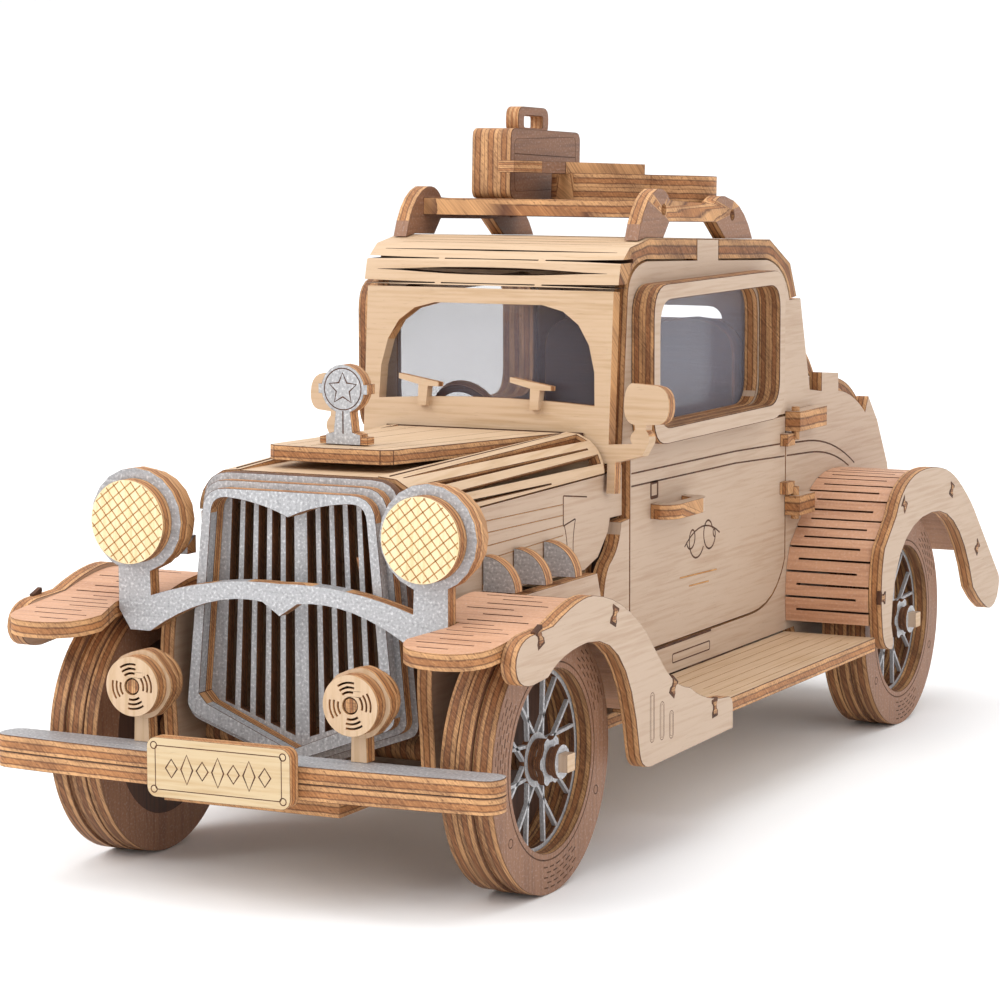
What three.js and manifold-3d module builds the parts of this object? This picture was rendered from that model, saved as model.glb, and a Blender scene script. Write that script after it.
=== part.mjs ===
// Vintage coupe assembled from laser-cut plywood plates: ladder floor, hood,
// stacked radiator, headlamp bar, fenders, running boards, cab with two opening
// doors, roof rack with luggage, and two turning axles.
// Millimetres, +Z up, the car faces -Y, +X is the car's left side.
import * as THREE from "three";
import Module from "manifold-3d";
import { mergeVertices } from "three/addons/utils/BufferGeometryUtils.js";

const wasm = await Module();
wasm.setup();

// ---- stock -----------------------------------------------------------------
const PLY = 2.0; // plywood sheet
const PANE = 0.5; // clear sheet
const GAP = 0.3; // air left around a cut or turning edge
const FIT = 0.05; // slip fit between glued pieces

// ---- overall layout: Y is measured from the front axle, then recentred ------
const FRONT_END = -26.4; // front face of the number plate
const TAIL_END = 158.05; // tip of the rear fender
const CENTRE_Y = (FRONT_END + TAIL_END) / 2;
const WHEELBASE = 122.3;

// ---- wheels ----------------------------------------------------------------
const TYRE_R = 16.0;
const RIM_R = 11.1;
const TYRE_FACE_X = 30.3; // outer face of the tyre
const TREAD = 6.8;
const WEB_T = 1.0; // disc that closes the tyre's inner side
const SPOKE_T = 0.8; // silver spoke disc
const SPOKE_W = 0.55;
const SPOKE_PAIRS = 6;
const HUB_R = 3.1;
const CAP_R = 2.1;
const AXLE_R = 1.5;
const AXLE_SQUARE = 2.2; // side of the squared axle end
const AXLE_END_X = 32.8;

// ---- body ------------------------------------------------------------------
const SIDE_X = 18.8; // outer face of the side panels
const SILL_Z = 16.2;
const FLOOR_Z = 13.0; // top of the floor sheet
const BELT_Z = 47.9; // top edge of the lower door
const DOOR_FRONT = 47.9;
const DOOR_REAR = 103.0;
const DOOR_BOTTOM = 20.6;
const WINDOW_FRONT = 48.1; // outer edge of the raised window frame
const WINDOW_REAR = 94.5;
const WINDOW_TOP = 69.8;
const WINDOW_BOTTOM = 48.6;
const FRAME_W = 2.1; // face width of the raised window frame
const FRAME_X = 22.1; // outer face of the raised window frame
const HINGE_X = 20.0;
const HINGE_Y = 104.0;
const HINGE_PIN_R = 0.6;
const DASH_Y = 42.3; // front face of the windshield plate at the cowl
const RAKE = THREE.MathUtils.degToRad(4.3); // windshield lean

// ---- nose ------------------------------------------------------------------
const GRILLE_Y = -9.75; // front face of the foremost radiator plate
const GRILLE_T = 1.55; // each of the two radiator rims
const BAR_Y = -11.85; // front face of the headlamp bar
const LAMP_X = 20.0;
const LAMP_Z = 43.46;
const LENS_R = 5.13;
const RING_R = 6.4;
const HOOD_FRONT = -4.6;
const HOOD_REAR = 41.5;
const BUMPER_HALF = 34.0;
const BUMPER_TOP = 17.9;

// ---- fenders ---------------------------------------------------------------
const FENDER_X = 33.8; // outer face of the rear fender plates
const NOSE_FENDER_X = 34.6; // outer face of the front fender plates
const NOSE_FENDER_Y = -1.6; // their outline is drawn this much too far back
const BOARD_X = 33.0; // outer edge of the running boards

// ---- finishes --------------------------------------------------------------
const FINISH = {
  birch: { color: 0xe3cda6, roughness: 0.62, metalness: 0.0 },
  edge: { color: 0x9a6534, roughness: 0.7, metalness: 0.0 },
  silver: { color: 0xb9babd, roughness: 0.45, metalness: 0.35 },
  copper: { color: 0xb98263, roughness: 0.55, metalness: 0.1 },
  brown: { color: 0x5b3d2c, roughness: 0.6, metalness: 0.0 },
  pane: { color: 0xc9cdd8, roughness: 0.12, metalness: 0.0 },
};

const car = new THREE.Group();
car.name = "vintage_coupe";

function add(name, geometry, finish) {
  geometry.translate(0, -CENTRE_Y, 0);
  geometry.computeVertexNormals();
  const mesh = new THREE.Mesh(geometry, new THREE.MeshStandardMaterial(FINISH[finish]));
  mesh.name = name;
  car.add(mesh);
  return mesh;
}

// ---- shape helpers ---------------------------------------------------------
// A Pen draws one closed outline; u and v are the two axes of the sheet.
class Pen {
  constructor(u, v) {
    this.shape = new THREE.Shape();
    this.shape.moveTo(u, v);
  }
  line(u, v) {
    this.shape.lineTo(u, v);
    return this;
  }
  curve(cu, cv, u, v) {
    this.shape.quadraticCurveTo(cu, cv, u, v);
    return this;
  }
  hole(path) {
    this.shape.holes.push(path);
    return this;
  }
}

function disc(u, v, r) {
  const s = new THREE.Shape();
  s.absarc(u, v, r, 0, Math.PI * 2, false);
  return s;
}

function roundRect(u0, v0, u1, v1, r) {
  const s = new THREE.Shape();
  s.moveTo(u0 + r, v0);
  s.lineTo(u1 - r, v0);
  s.quadraticCurveTo(u1, v0, u1, v0 + r);
  s.lineTo(u1, v1 - r);
  s.quadraticCurveTo(u1, v1, u1 - r, v1);
  s.lineTo(u0 + r, v1);
  s.quadraticCurveTo(u0, v1, u0, v1 - r);
  s.lineTo(u0, v0 + r);
  s.quadraticCurveTo(u0, v0, u0 + r, v0);
  return s;
}

// Thicken an outline; the outline runs anticlockwise and its holes clockwise.
function sheet(shape, depth, segments) {
  const source = shape instanceof Pen ? shape.shape : shape;
  const points = source.extractPoints(segments);
  const wound = (ring, clockwise) =>
    THREE.ShapeUtils.isClockWise(ring) === clockwise ? ring : ring.reverse();
  const clean = new THREE.Shape(wound(points.shape, false));
  clean.holes = points.holes.map((ring) => new THREE.Path(wound(ring, true)));
  return new THREE.ExtrudeGeometry(clean, { depth, bevelEnabled: false });
}

const TO_X = new THREE.Matrix4().makeBasis(
  new THREE.Vector3(0, 1, 0),
  new THREE.Vector3(0, 0, 1),
  new THREE.Vector3(1, 0, 0),
);
const TO_Y = new THREE.Matrix4().makeBasis(
  new THREE.Vector3(1, 0, 0),
  new THREE.Vector3(0, 0, 1),
  new THREE.Vector3(0, -1, 0),
);

// Sheet lying in the YZ plane between x0 and x1; outline in (y, z).
function plateX(shape, x0, x1, segments = 6) {
  const low = Math.min(x0, x1);
  return sheet(shape, Math.abs(x1 - x0), segments).applyMatrix4(TO_X).translate(low, 0, 0);
}

// Sheet lying in the XZ plane between y0 and y1; outline in (x, z).
function plateY(shape, y0, y1, segments = 6) {
  const high = Math.max(y0, y1);
  return sheet(shape, Math.abs(y1 - y0), segments).applyMatrix4(TO_Y).translate(0, high, 0);
}

// Sheet lying flat between z0 and z1; outline in (x, y).
function plateZ(shape, z0, z1, segments = 6) {
  return sheet(shape, z1 - z0, segments).translate(0, 0, z0);
}

function block(x0, x1, y0, y1, z0, z1) {
  const g = new THREE.BoxGeometry(Math.abs(x1 - x0), y1 - y0, z1 - z0);
  return g.translate((x0 + x1) / 2, (y0 + y1) / 2, (z0 + z1) / 2);
}

function toSolid(geometry) {
  const g = geometry.clone();
  g.deleteAttribute("normal");
  g.deleteAttribute("uv");
  const m = mergeVertices(g, 1e-4);
  return new wasm.Manifold(
    new wasm.Mesh({
      numProp: 3,
      vertProperties: Float32Array.from(m.attributes.position.array),
      triVerts: Uint32Array.from(m.index.array),
    }),
  );
}

function fromSolid(solid) {
  const mesh = solid.getMesh();
  const g = new THREE.BufferGeometry();
  const stride = mesh.numProp;
  const count = mesh.vertProperties.length / stride;
  const position = new Float32Array(count * 3);
  for (let i = 0; i < count; i += 1) {
    for (let k = 0; k < 3; k += 1) {
      position[3 * i + k] = mesh.vertProperties[stride * i + k];
    }
  }
  g.setAttribute("position", new THREE.BufferAttribute(position, 3));
  g.setIndex(new THREE.BufferAttribute(Uint32Array.from(mesh.triVerts), 1));
  return g.toNonIndexed();
}

function join(...pieces) {
  return fromSolid(pieces.map(toSolid).reduce((a, b) => a.add(b)));
}

function cut(base, ...tools) {
  return fromSolid(tools.map(toSolid).reduce((a, b) => a.subtract(b), toSolid(base)));
}

function common(a, b) {
  return fromSolid(toSolid(a).intersect(toSolid(b)));
}

// Mirror to the car's right side, keeping outward faces.
function mirrorX(geometry) {
  const g = geometry.index ? geometry.toNonIndexed() : geometry.clone();
  g.deleteAttribute("normal");
  g.deleteAttribute("uv");
  const p = g.attributes.position;
  for (let i = 0; i < p.count; i += 3) {
    const corner = [0, 2, 1].map((k) => [p.getX(i + k), p.getY(i + k), p.getZ(i + k)]);
    corner.forEach(([x, y, z], k) => p.setXYZ(i + k, -x, y, z));
  }
  return g;
}

function addPair(stem, geometry, finish) {
  add(`${stem}_right`, mirrorX(geometry), finish);
  add(`${stem}_left`, geometry, finish);
}

function shearX(geometry, slope, y0) {
  const p = geometry.attributes.position;
  for (let i = 0; i < p.count; i += 1) {
    p.setX(i, p.getX(i) + (p.getY(i) - y0) * slope);
  }
  return geometry;
}

function rakeBack(geometry) {
  return geometry.translate(0, -DASH_Y, -49).rotateX(-RAKE).translate(0, DASH_Y, 49);
}

function rod(x, y, z0, z1, r, segments = 6) {
  return plateZ(disc(x, y, r), z0, z1, segments);
}

// ---- wheels and axles ------------------------------------------------------
function tyre() {
  const inner = TYRE_FACE_X - TREAD;
  const ring = disc(0, TYRE_R, TYRE_R);
  ring.holes.push(disc(0, TYRE_R, RIM_R));
  const groove = disc(0, TYRE_R, RIM_R + 0.8);
  const spokeX = TYRE_FACE_X - PLY - SPOKE_T;
  const web = disc(0, TYRE_R, RIM_R + 0.2);
  web.holes.push(disc(0, TYRE_R, AXLE_R + FIT));
  return cut(
    join(plateX(ring, inner, TYRE_FACE_X, 18), plateX(web, inner, inner + WEB_T, 18)),
    plateX(groove, spokeX - FIT, spokeX + SPOKE_T + FIT, 18),
  );
}

function spokeDisc() {
  const x0 = TYRE_FACE_X - PLY - SPOKE_T;
  const x1 = x0 + SPOKE_T;
  const band = disc(0, TYRE_R, RIM_R + 0.75);
  band.holes.push(disc(0, TYRE_R, RIM_R - 0.4));
  const parts = [plateX(band, x0, x1, 18), plateX(disc(0, TYRE_R, HUB_R), x0, x1, 8)];
  for (let i = 0; i < SPOKE_PAIRS; i += 1) {
    for (const lean of [-0.2, 0.2]) {
      const bar = block(x0, x1, -SPOKE_W / 2, SPOKE_W / 2, HUB_R - 1, RIM_R);
      bar.rotateX(lean).rotateX((i * Math.PI * 2) / SPOKE_PAIRS);
      parts.push(bar.translate(0, 0, TYRE_R));
    }
  }
  parts.push(plateX(disc(0, TYRE_R, HUB_R), x1 - 0.1, x1 + PLY, 8));
  parts.push(plateX(disc(0, TYRE_R, CAP_R), x1 + PLY - 0.1, x1 + PLY + 1.4, 8));
  const half = AXLE_SQUARE / 2 + FIT;
  const bore = block(x0 - 1, AXLE_END_X, -half, half, TYRE_R - half, TYRE_R + half);
  return cut(join(...parts), bore);
}

function axle() {
  const half = AXLE_SQUARE / 2;
  const shaftX = TYRE_FACE_X - PLY - SPOKE_T - 1.2;
  const shaft = plateX(disc(0, TYRE_R, AXLE_R), -shaftX, shaftX, 8);
  const square = block(-AXLE_END_X, AXLE_END_X, -half, half, TYRE_R - half, TYRE_R + half);
  return join(shaft, square);
}

for (const [stem, y] of [["front", 0], ["rear", WHEELBASE]]) {
  add(`${stem}_axle`, axle().translate(0, y, 0), "birch");
  addPair(`${stem}_tyre`, tyre().translate(0, y, 0), "copper");
  addPair(`${stem}_spokes`, spokeDisc().translate(0, y, 0), "silver");
}

// ---- floor and body sides --------------------------------------------------
const FLOOR_HALF = SIDE_X - PLY - FIT;
const FLOOR_NOSE = SIDE_X - PLY / 2;
const floor = new Pen(-12, -19)
  .line(12, -19)
  .line(12, -6)
  .line(FLOOR_NOSE, -2)
  .line(FLOOR_NOSE, 38)
  .line(FLOOR_HALF, 38)
  .line(FLOOR_HALF, 146)
  .line(-FLOOR_HALF, 146)
  .line(-FLOOR_HALF, 38)
  .line(-FLOOR_NOSE, 38)
  .line(-FLOOR_NOSE, -2)
  .line(-12, -6);
const axleHole = (y) => disc(y, TYRE_R, AXLE_R + 0.08);

const innerFender = new Pen(-7.4, FLOOR_Z - PLY)
  .line(39.0, FLOOR_Z - PLY)
  .line(39.0, 29)
  .line(37.5, 33)
  .line(-7.5, 33)
  .curve(-9.5, 27, -8.2, 20)
  .hole(axleHole(0));
const innerLeft = plateX(innerFender, SIDE_X - PLY, SIDE_X, 8);
const floorSheet = plateZ(floor, FLOOR_Z - PLY, FLOOR_Z);
add("floor_plate", join(floorSheet, innerLeft, mirrorX(innerLeft)), "birch");

// The body side: quarter, sill, pillars and roof rail around the door cut-out.
const sidePanel = new Pen(39.5, SILL_Z)
  .line(107, SILL_Z)
  .curve(109, 11.5, 114, 11.5)
  .line(140, 11.5)
  .curve(148, 12, 150, 18)
  .line(150, 25)
  .line(146.6, 36.7)
  .line(141.8, 44.0)
  .line(137.8, 48.0)
  .line(136.4, 45.6)
  .curve(131, 49.2, 124.6, 49.9)
  .line(124.6, 52.6)
  .line(117.6, 53.2)
  .line(117.6, 50.4)
  .line(112.7, 51)
  .line(108.6, 64.8)
  .line(104.2, 64.8)
  .curve(102.5, 69.8, 95.5, 71.0)
  .line(77.4, 71.75)
  .line(77.4, 74.6)
  .line(70.0, 74.9)
  .line(70.0, 72.05)
  .line(53.0, 72.7)
  .curve(47.4, 72.2, 47.0, 68.6)
  .line(45.1, BELT_Z + GAP)
  .line(WINDOW_FRONT + 1.2, BELT_Z + GAP)
  .line(WINDOW_FRONT + 1.2, WINDOW_TOP - 4.5)
  .curve(WINDOW_FRONT + 1.2, WINDOW_TOP - 0.9, WINDOW_FRONT + 6, WINDOW_TOP - 0.9)
  .line(WINDOW_REAR - 6, WINDOW_TOP - 0.9)
  .curve(WINDOW_REAR - 1.2, WINDOW_TOP - 0.9, WINDOW_REAR - 1.2, WINDOW_TOP - 5.5)
  .line(WINDOW_REAR - 1.2, BELT_Z + GAP)
  .line(DOOR_REAR + GAP, BELT_Z + GAP)
  .line(DOOR_REAR + GAP, 27)
  .curve(DOOR_REAR - 3, DOOR_BOTTOM - GAP, 90, DOOR_BOTTOM - GAP)
  .line(DOOR_FRONT - GAP, DOOR_BOTTOM - GAP)
  .line(DOOR_FRONT - GAP, 39.0)
  .line(45, 38.8)
  .curve(44.6, 35.4, 41.6, 33.8)
  .curve(39.8, 32.4, 39.5, 29)
  .hole(axleHole(WHEELBASE));
const EAR_Z = [33.3, 45.7];
const EAR_H = 2.9;

// Hinge ears: flat lugs through the quarter panel, each with the pin hole.
function hingeEar(z, tailY) {
  const lug = new Pen(SIDE_X - PLY / 2, 106.1)
    .line(SIDE_X + FIT, 106.1)
    .line(SIDE_X + FIT, HINGE_Y - 1.2)
    .line(HINGE_X + 1.2, HINGE_Y - 1.2)
    .line(HINGE_X + 1.2, tailY)
    .line(SIDE_X + FIT, tailY)
    .line(SIDE_X + FIT, tailY - 0.8)
    .line(SIDE_X - PLY / 2, tailY - 0.8)
    .hole(disc(HINGE_X, HINGE_Y, HINGE_PIN_R + 0.08));
  return plateZ(lug, z, z + EAR_H, 6);
}
const sideSheet = plateX(sidePanel, SIDE_X - PLY, SIDE_X, 8);
addPair("side_panel", join(sideSheet, hingeEar(EAR_Z[0], 109.0), hingeEar(EAR_Z[1], 113.6)), "birch");

// ---- doors -----------------------------------------------------------------
const GLASS = {
  y0: WINDOW_FRONT + FRAME_W,
  y1: WINDOW_REAR - FRAME_W,
  z0: WINDOW_BOTTOM + FRAME_W,
  z1: WINDOW_TOP - FRAME_W,
};
const doorOutline = new Pen(DOOR_FRONT, DOOR_BOTTOM)
  .line(90, DOOR_BOTTOM)
  .curve(DOOR_REAR - 3.2, DOOR_BOTTOM, DOOR_REAR, 27)
  .line(DOOR_REAR, BELT_Z)
  .line(WINDOW_REAR - 1.6, BELT_Z)
  .line(WINDOW_REAR - 1.6, WINDOW_TOP - 6)
  .curve(WINDOW_REAR - 1.6, WINDOW_TOP - 1.3, WINDOW_REAR - 6.4, WINDOW_TOP - 1.3)
  .line(WINDOW_FRONT + 6.4, WINDOW_TOP - 1.3)
  .curve(WINDOW_FRONT + 1.6, WINDOW_TOP - 1.3, WINDOW_FRONT + 1.6, WINDOW_TOP - 5)
  .line(WINDOW_FRONT + 1.6, BELT_Z)
  .line(DOOR_FRONT, BELT_Z)
  .hole(roundRect(GLASS.y0 + 0.4, GLASS.z0, GLASS.y1 - 0.4, GLASS.z1 - 0.2, 4));
const lugZ = [EAR_Z[0] + EAR_H + GAP, EAR_Z[1] - GAP];
const KNUCKLE_H = 1.8;

// A short knuckle beside one ear, with the pin that turns in the ear.
function knuckle(z0, z1, pin0, pin1) {
  return [
    block(SIDE_X - 0.4, HINGE_X, HINGE_Y - 3.0, HINGE_Y - 1.1, z0, z1),
    block(SIDE_X + GAP, HINGE_X, HINGE_Y - 1.5, HINGE_Y - 0.1, z0, z1),
    rod(HINGE_X, HINGE_Y, pin0, pin1, HINGE_PIN_R, 6),
  ];
}

const handle = new Pen(SIDE_X - 0.2, 54.6)
  .line(SIDE_X + 1.6, 54.0)
  .curve(SIDE_X + 3.6, 54.4, SIDE_X + 3.6, 57)
  .line(SIDE_X + 3.6, 64)
  .curve(SIDE_X + 3.4, 66.6, SIDE_X + 1.6, 67)
  .line(SIDE_X - 0.2, 66.4)
  .line(SIDE_X - 0.2, 65.0)
  .line(SIDE_X + 1.9, 64.2)
  .line(SIDE_X + 1.9, 57)
  .line(SIDE_X - 0.2, 56.4);
const door = join(
  plateX(doorOutline, SIDE_X - PLY, SIDE_X, 6),
  plateZ(handle, 38.2, 38.2 + PLY, 4),
  ...knuckle(lugZ[0], lugZ[0] + KNUCKLE_H, EAR_Z[0] - 0.6, lugZ[0] + 1),
  ...knuckle(lugZ[1] - KNUCKLE_H, lugZ[1], lugZ[1] - 1, EAR_Z[1] + EAR_H + 0.6),
);
addPair("door_panel", door, "birch");

const frameOutline = roundRect(WINDOW_FRONT, WINDOW_BOTTOM, WINDOW_REAR, WINDOW_TOP, 4.4);
frameOutline.holes.push(roundRect(GLASS.y0, GLASS.z0, GLASS.y1, GLASS.z1, 3.6));
addPair("door_window_frame", plateX(frameOutline, SIDE_X + FIT, FRAME_X, 6), "birch");

const paneX = SIDE_X - PLY - FIT;
const doorPane = roundRect(GLASS.y0 - 0.4, GLASS.z0 - 0.8, GLASS.y1 + 0.4, GLASS.z1 + 0.4, 3.6);
addPair("door_pane", plateX(doorPane, paneX - PANE, paneX, 4), "pane");

// ---- hood ------------------------------------------------------------------
// A skin between two like sections, each an outer run and an inner run in (x, z).
function loft(front, y0, rear, y1) {
  const tri = [];
  const n = front.length;
  const push = (...points) => points.forEach((p) => tri.push(p[0], p[1], p[2]));
  const at = (ring, y, i) => [ring[i % n][0], y, ring[i % n][1]];
  for (let i = 0; i < n; i += 1) {
    push(at(front, y0, i), at(rear, y1, i), at(front, y0, i + 1));
    push(at(front, y0, i + 1), at(rear, y1, i), at(rear, y1, i + 1));
  }
  const face = THREE.ShapeUtils.triangulateShape(front.map(([x, z]) => new THREE.Vector2(x, z)), []);
  for (const [a, b, c] of face) {
    push(at(front, y0, a), at(front, y0, b), at(front, y0, c));
    push(at(rear, y1, a), at(rear, y1, c), at(rear, y1, b));
  }
  const g = new THREE.BufferGeometry();
  g.setAttribute("position", new THREE.Float32BufferAttribute(tri, 3));
  return g;
}

// The middle lies lower than the two slatted shoulders, so the lid can sink in.
function hoodSection(top, flat, half, drop, t, middle) {
  const outer = [[middle.half, middle.top], [middle.half + 0.15, top]];
  const inner = [[flat - 0.3, middle.top - t]];
  const steps = 4;
  for (let i = 0; i <= steps; i += 1) {
    const a = (i / steps) * (Math.PI / 2);
    const s = Math.sin(a);
    const c = Math.cos(a);
    outer.push([flat + (half - flat) * s, top - drop * (1 - c)]);
    inner.push([flat + (half - t - flat) * s, top - t - (drop - t) * (1 - c)]);
  }
  const mirror = (run) => run.map(([x, z]) => [-x, z]).reverse();
  return [...mirror(outer), ...outer, ...inner.reverse(), ...mirror(inner.reverse())].reverse();
}

const HOOD_T = 1.6;
add(
  "hood_top",
  loft(
    hoodSection(49.5, 10.4, 15.4, 5.2, HOOD_T, { half: 9.2, top: 49.4 }),
    HOOD_FRONT,
    hoodSection(50.8, 13.0, 18.0, 5.2, HOOD_T, { half: 12.4, top: 48.6 }),
    HOOD_REAR,
  ),
  "birch",
);

const HOOD_SLOPE = 0.05;
const hoodSide = new Pen(HOOD_FRONT, 33.4)
  .line(37.0, 33.4)
  .line(40.6, 34.6)
  .line(43.4, 37.6)
  .line(44.0, 39.4)
  .line(47.4, 39.4)
  .line(47.4, 46.2)
  .line(HOOD_REAR + 0.2, 45.3)
  .line(HOOD_FRONT, 44.1);
addPair("hood_side", shearX(plateX(hoodSide, 13.2, 15.2), HOOD_SLOPE, HOOD_FRONT), "birch");

// The centre lid lies propped: its nose stands clear, its tail sinks between the shoulders.
const LID_TILT = THREE.MathUtils.degToRad(2.0);
const LID_FRONT = -0.6;
const LID_REAR = 41.0;
const lid = new Pen(-7.4, LID_FRONT + 0.4)
  .line(0, LID_FRONT - 0.2)
  .line(7.4, LID_FRONT + 0.4)
  .line(8.6, LID_FRONT + 1.6)
  .line(12.0, LID_REAR)
  .line(-12.0, LID_REAR)
  .line(-8.6, LID_FRONT + 1.6);
const lidSheet = plateZ(lid, 0, 1.85).rotateX(-LID_TILT).translate(0, 0, 50.25);
add("hood_lid", lidSheet, "birch");

const ORNAMENT_Y = 5.0;
const badgeStem = new Pen(-2.4, 52.1)
  .line(2.4, 52.1)
  .line(2.4, 53.3)
  .line(1.3, 53.6)
  .line(0.95, 56.6)
  .line(-0.95, 56.6)
  .line(-1.3, 53.6)
  .line(-2.4, 53.3);
const badge = join(
  plateY(badgeStem, ORNAMENT_Y - 1, ORNAMENT_Y + 1),
  plateY(disc(0, 58.9, 3.0), ORNAMENT_Y - 1, ORNAMENT_Y + 1, 10),
  block(-3.4, 3.4, ORNAMENT_Y - 1, ORNAMENT_Y + 1, 58.3, 59.5),
);
add("hood_ornament", badge, "silver");

// Three half discs stand on the hood side above the fender, tied by a batten.
const VENT_R = 4.4;
const VENT_Z = 34.1;
const VENT_PITCH = 7.8;
function ventRow() {
  const wall = (y) => 15.3 + HOOD_SLOPE * (y - HOOD_FRONT);
  const batten = block(15.3, 16.1, 10, 10 + 2 * VENT_PITCH + PLY, VENT_Z, VENT_Z + 0.9);
  const parts = [shearX(batten, HOOD_SLOPE, HOOD_FRONT)];
  for (let i = 0; i < 3; i += 1) {
    const y = 10 + i * VENT_PITCH;
    const x = wall(y + PLY);
    const half = new THREE.Shape();
    half.moveTo(x, VENT_Z);
    half.absarc(x, VENT_Z, VENT_R, 0, Math.PI / 2, false);
    half.lineTo(x, VENT_Z);
    parts.push(plateY(half, y, y + PLY, 8));
  }
  return join(...parts);
}
addPair("exhaust_vents", ventRow(), "silver");

// ---- radiator --------------------------------------------------------------
function shieldOutline(topHalf, lowHalf, top, low, point, r) {
  return new Pen(-topHalf + r, top)
    .line(topHalf - r, top)
    .curve(topHalf, top, topHalf + 0.15, top - r)
    .line(lowHalf, low + 1.2)
    .curve(lowHalf, low, lowHalf - 1.2, low - 0.5)
    .line(0, point)
    .line(-lowHalf + 1.2, low - 0.5)
    .curve(-lowHalf, low, -lowHalf, low + 1.2)
    .line(-topHalf - 0.15, top - r)
    .curve(-topHalf, top, -topHalf + r, top);
}

const opening = new Pen(-8.6, 46.6)
  .curve(-4, 46.4, 0, 44.6)
  .curve(4, 46.4, 8.6, 46.6)
  .curve(10.6, 46.6, 10.7, 44.6)
  .line(12.7, 22.4)
  .line(11.6, 21.2)
  .line(0, 16.4)
  .line(-11.6, 21.2)
  .line(-12.7, 22.4)
  .line(-10.7, 44.6)
  .curve(-10.6, 46.6, -8.6, 46.6).shape;

const steps = [
  ["radiator_front", GRILLE_Y, 0],
  ["radiator_middle", GRILLE_Y + GRILLE_T, 0.8],
];
for (const [name, y, grow] of steps) {
  const rim = shieldOutline(11.8 + grow, 14.3 + grow, 47.7 + grow, 20.2 - grow * 0.7, 14.9 - grow, 3.2);
  rim.hole(opening);
  add(name, plateY(rim, y + FIT, y + GRILLE_T, 5), "silver");
}

// The rearmost plate carries the grille bars: slots cut between upright bars.
const BAR_PITCH = 1.86;
const BAR_W = 0.75;
const BAR_FLARE = 1.14; // bars lean outwards towards the foot
const grilleY = GRILLE_Y + 2 * GRILLE_T;
function grilleSlot(side, x0) {
  const x1 = x0 + BAR_PITCH - BAR_W;
  const foot = (x) => 17.3 + 0.41 * x;
  const slot = new Pen(side * x0, 46.4)
    .line(side * x1, 46.4)
    .line(side * x1 * BAR_FLARE, foot(x1))
    .line(side * x0 * BAR_FLARE, foot(x0));
  return plateY(slot, grilleY - 1, grilleY + PLY + 1);
}
const slots = [0, 1, 2, 3, 4].flatMap((i) => [-1, 1].map((side) => grilleSlot(side, 0.9 + i * BAR_PITCH)));
const grilleSheet = plateY(shieldOutline(13.4, 15.9, 49.3, 19.0, 13.2, 3.6), grilleY + FIT, grilleY + GRILLE_T, 5);
add("grille_plate", cut(grilleSheet, ...slots), "silver");

// ---- lamps -----------------------------------------------------------------
const barOutline = new Pen(0, 33)
  .line(2.4, 34.6)
  .curve(10, 35.6, 18.2, 30)
  .line(21, 30)
  .line(22.6, 32.5)
  .line(22.6, 40)
  .line(18.2, 40)
  .line(18.0, 34.4)
  .curve(9, 37.4, 0, 36.9)
  .curve(-9, 37.4, -18.0, 34.4)
  .line(-18.2, 40)
  .line(-22.6, 40)
  .line(-22.6, 32.5)
  .line(-21, 30)
  .line(-18.2, 30)
  .curve(-10, 35.6, -2.4, 34.6);
const lampBack = join(
  plateY(disc(LAMP_X, LAMP_Z, RING_R), BAR_Y, BAR_Y + PLY, 10),
  plateY(disc(LAMP_X, LAMP_Z, RING_R - 0.5), BAR_Y + PLY - 0.1, BAR_Y + 2 * PLY, 10),
  plateY(disc(LAMP_X, LAMP_Z, 3.0), BAR_Y + 2 * PLY - 0.2, BAR_Y + 3 * PLY, 8),
  block(15.2, LAMP_X, BAR_Y + 2 * PLY, BAR_Y + 3 * PLY, LAMP_Z - 4.4, LAMP_Z - 2.2),
);
const lampBar = join(plateY(barOutline, BAR_Y, BAR_Y + PLY, 8), lampBack, mirrorX(lampBack));
add("headlamp_bar", lampBar, "silver");
addPair("headlamp_lens", plateY(disc(LAMP_X, LAMP_Z, LENS_R), BAR_Y - PLY, BAR_Y - FIT, 10), "birch");

const FOG_X = 14.8;
const FOG_Z = 24.9;
const FOG_Y = -21.4;
const fog = join(
  plateY(disc(FOG_X, FOG_Z, 3.6), FOG_Y, FOG_Y + PLY + 0.1, 10),
  plateY(disc(FOG_X, FOG_Z, 4.2), FOG_Y + PLY, FOG_Y + 2 * PLY + 0.1, 10),
  plateY(disc(FOG_X, FOG_Z, 3.4), FOG_Y + 2 * PLY, FOG_Y + 3 * PLY, 10),
  block(FOG_X - 1, FOG_X + 1, FOG_Y + PLY, FOG_Y + 2 * PLY, BUMPER_TOP + FIT, FOG_Z - 2),
);
addPair("fog_lamp", fog, "birch");

// ---- bumper ----------------------------------------------------------------
function bumperOutline() {
  return new Pen(-BUMPER_HALF + 1.8, -22.8)
    .curve(-17, -24.3, 0, -24.4)
    .curve(17, -24.3, BUMPER_HALF - 1.8, -22.8)
    .curve(BUMPER_HALF, -22.4, BUMPER_HALF, -20.5)
    .curve(BUMPER_HALF, -18.2, BUMPER_HALF - 2, -18.0)
    .curve(17, -18.5, 0, -18.6)
    .curve(-17, -18.5, -BUMPER_HALF + 2, -18.0)
    .curve(-BUMPER_HALF, -18.2, -BUMPER_HALF, -20.5)
    .curve(-BUMPER_HALF, -22.4, -BUMPER_HALF + 1.8, -22.8);
}
add("bumper_lower", plateZ(bumperOutline(), BUMPER_TOP - 2 * PLY, BUMPER_TOP - PLY - FIT, 6), "edge");
add("bumper_upper", plateZ(bumperOutline(), BUMPER_TOP - PLY, BUMPER_TOP, 6), "silver");
add("number_plate", plateY(roundRect(-9.65, 13.1, 9.65, 20.2, 1.2), FRONT_END, FRONT_END + 1.95, 4), "birch");

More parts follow.
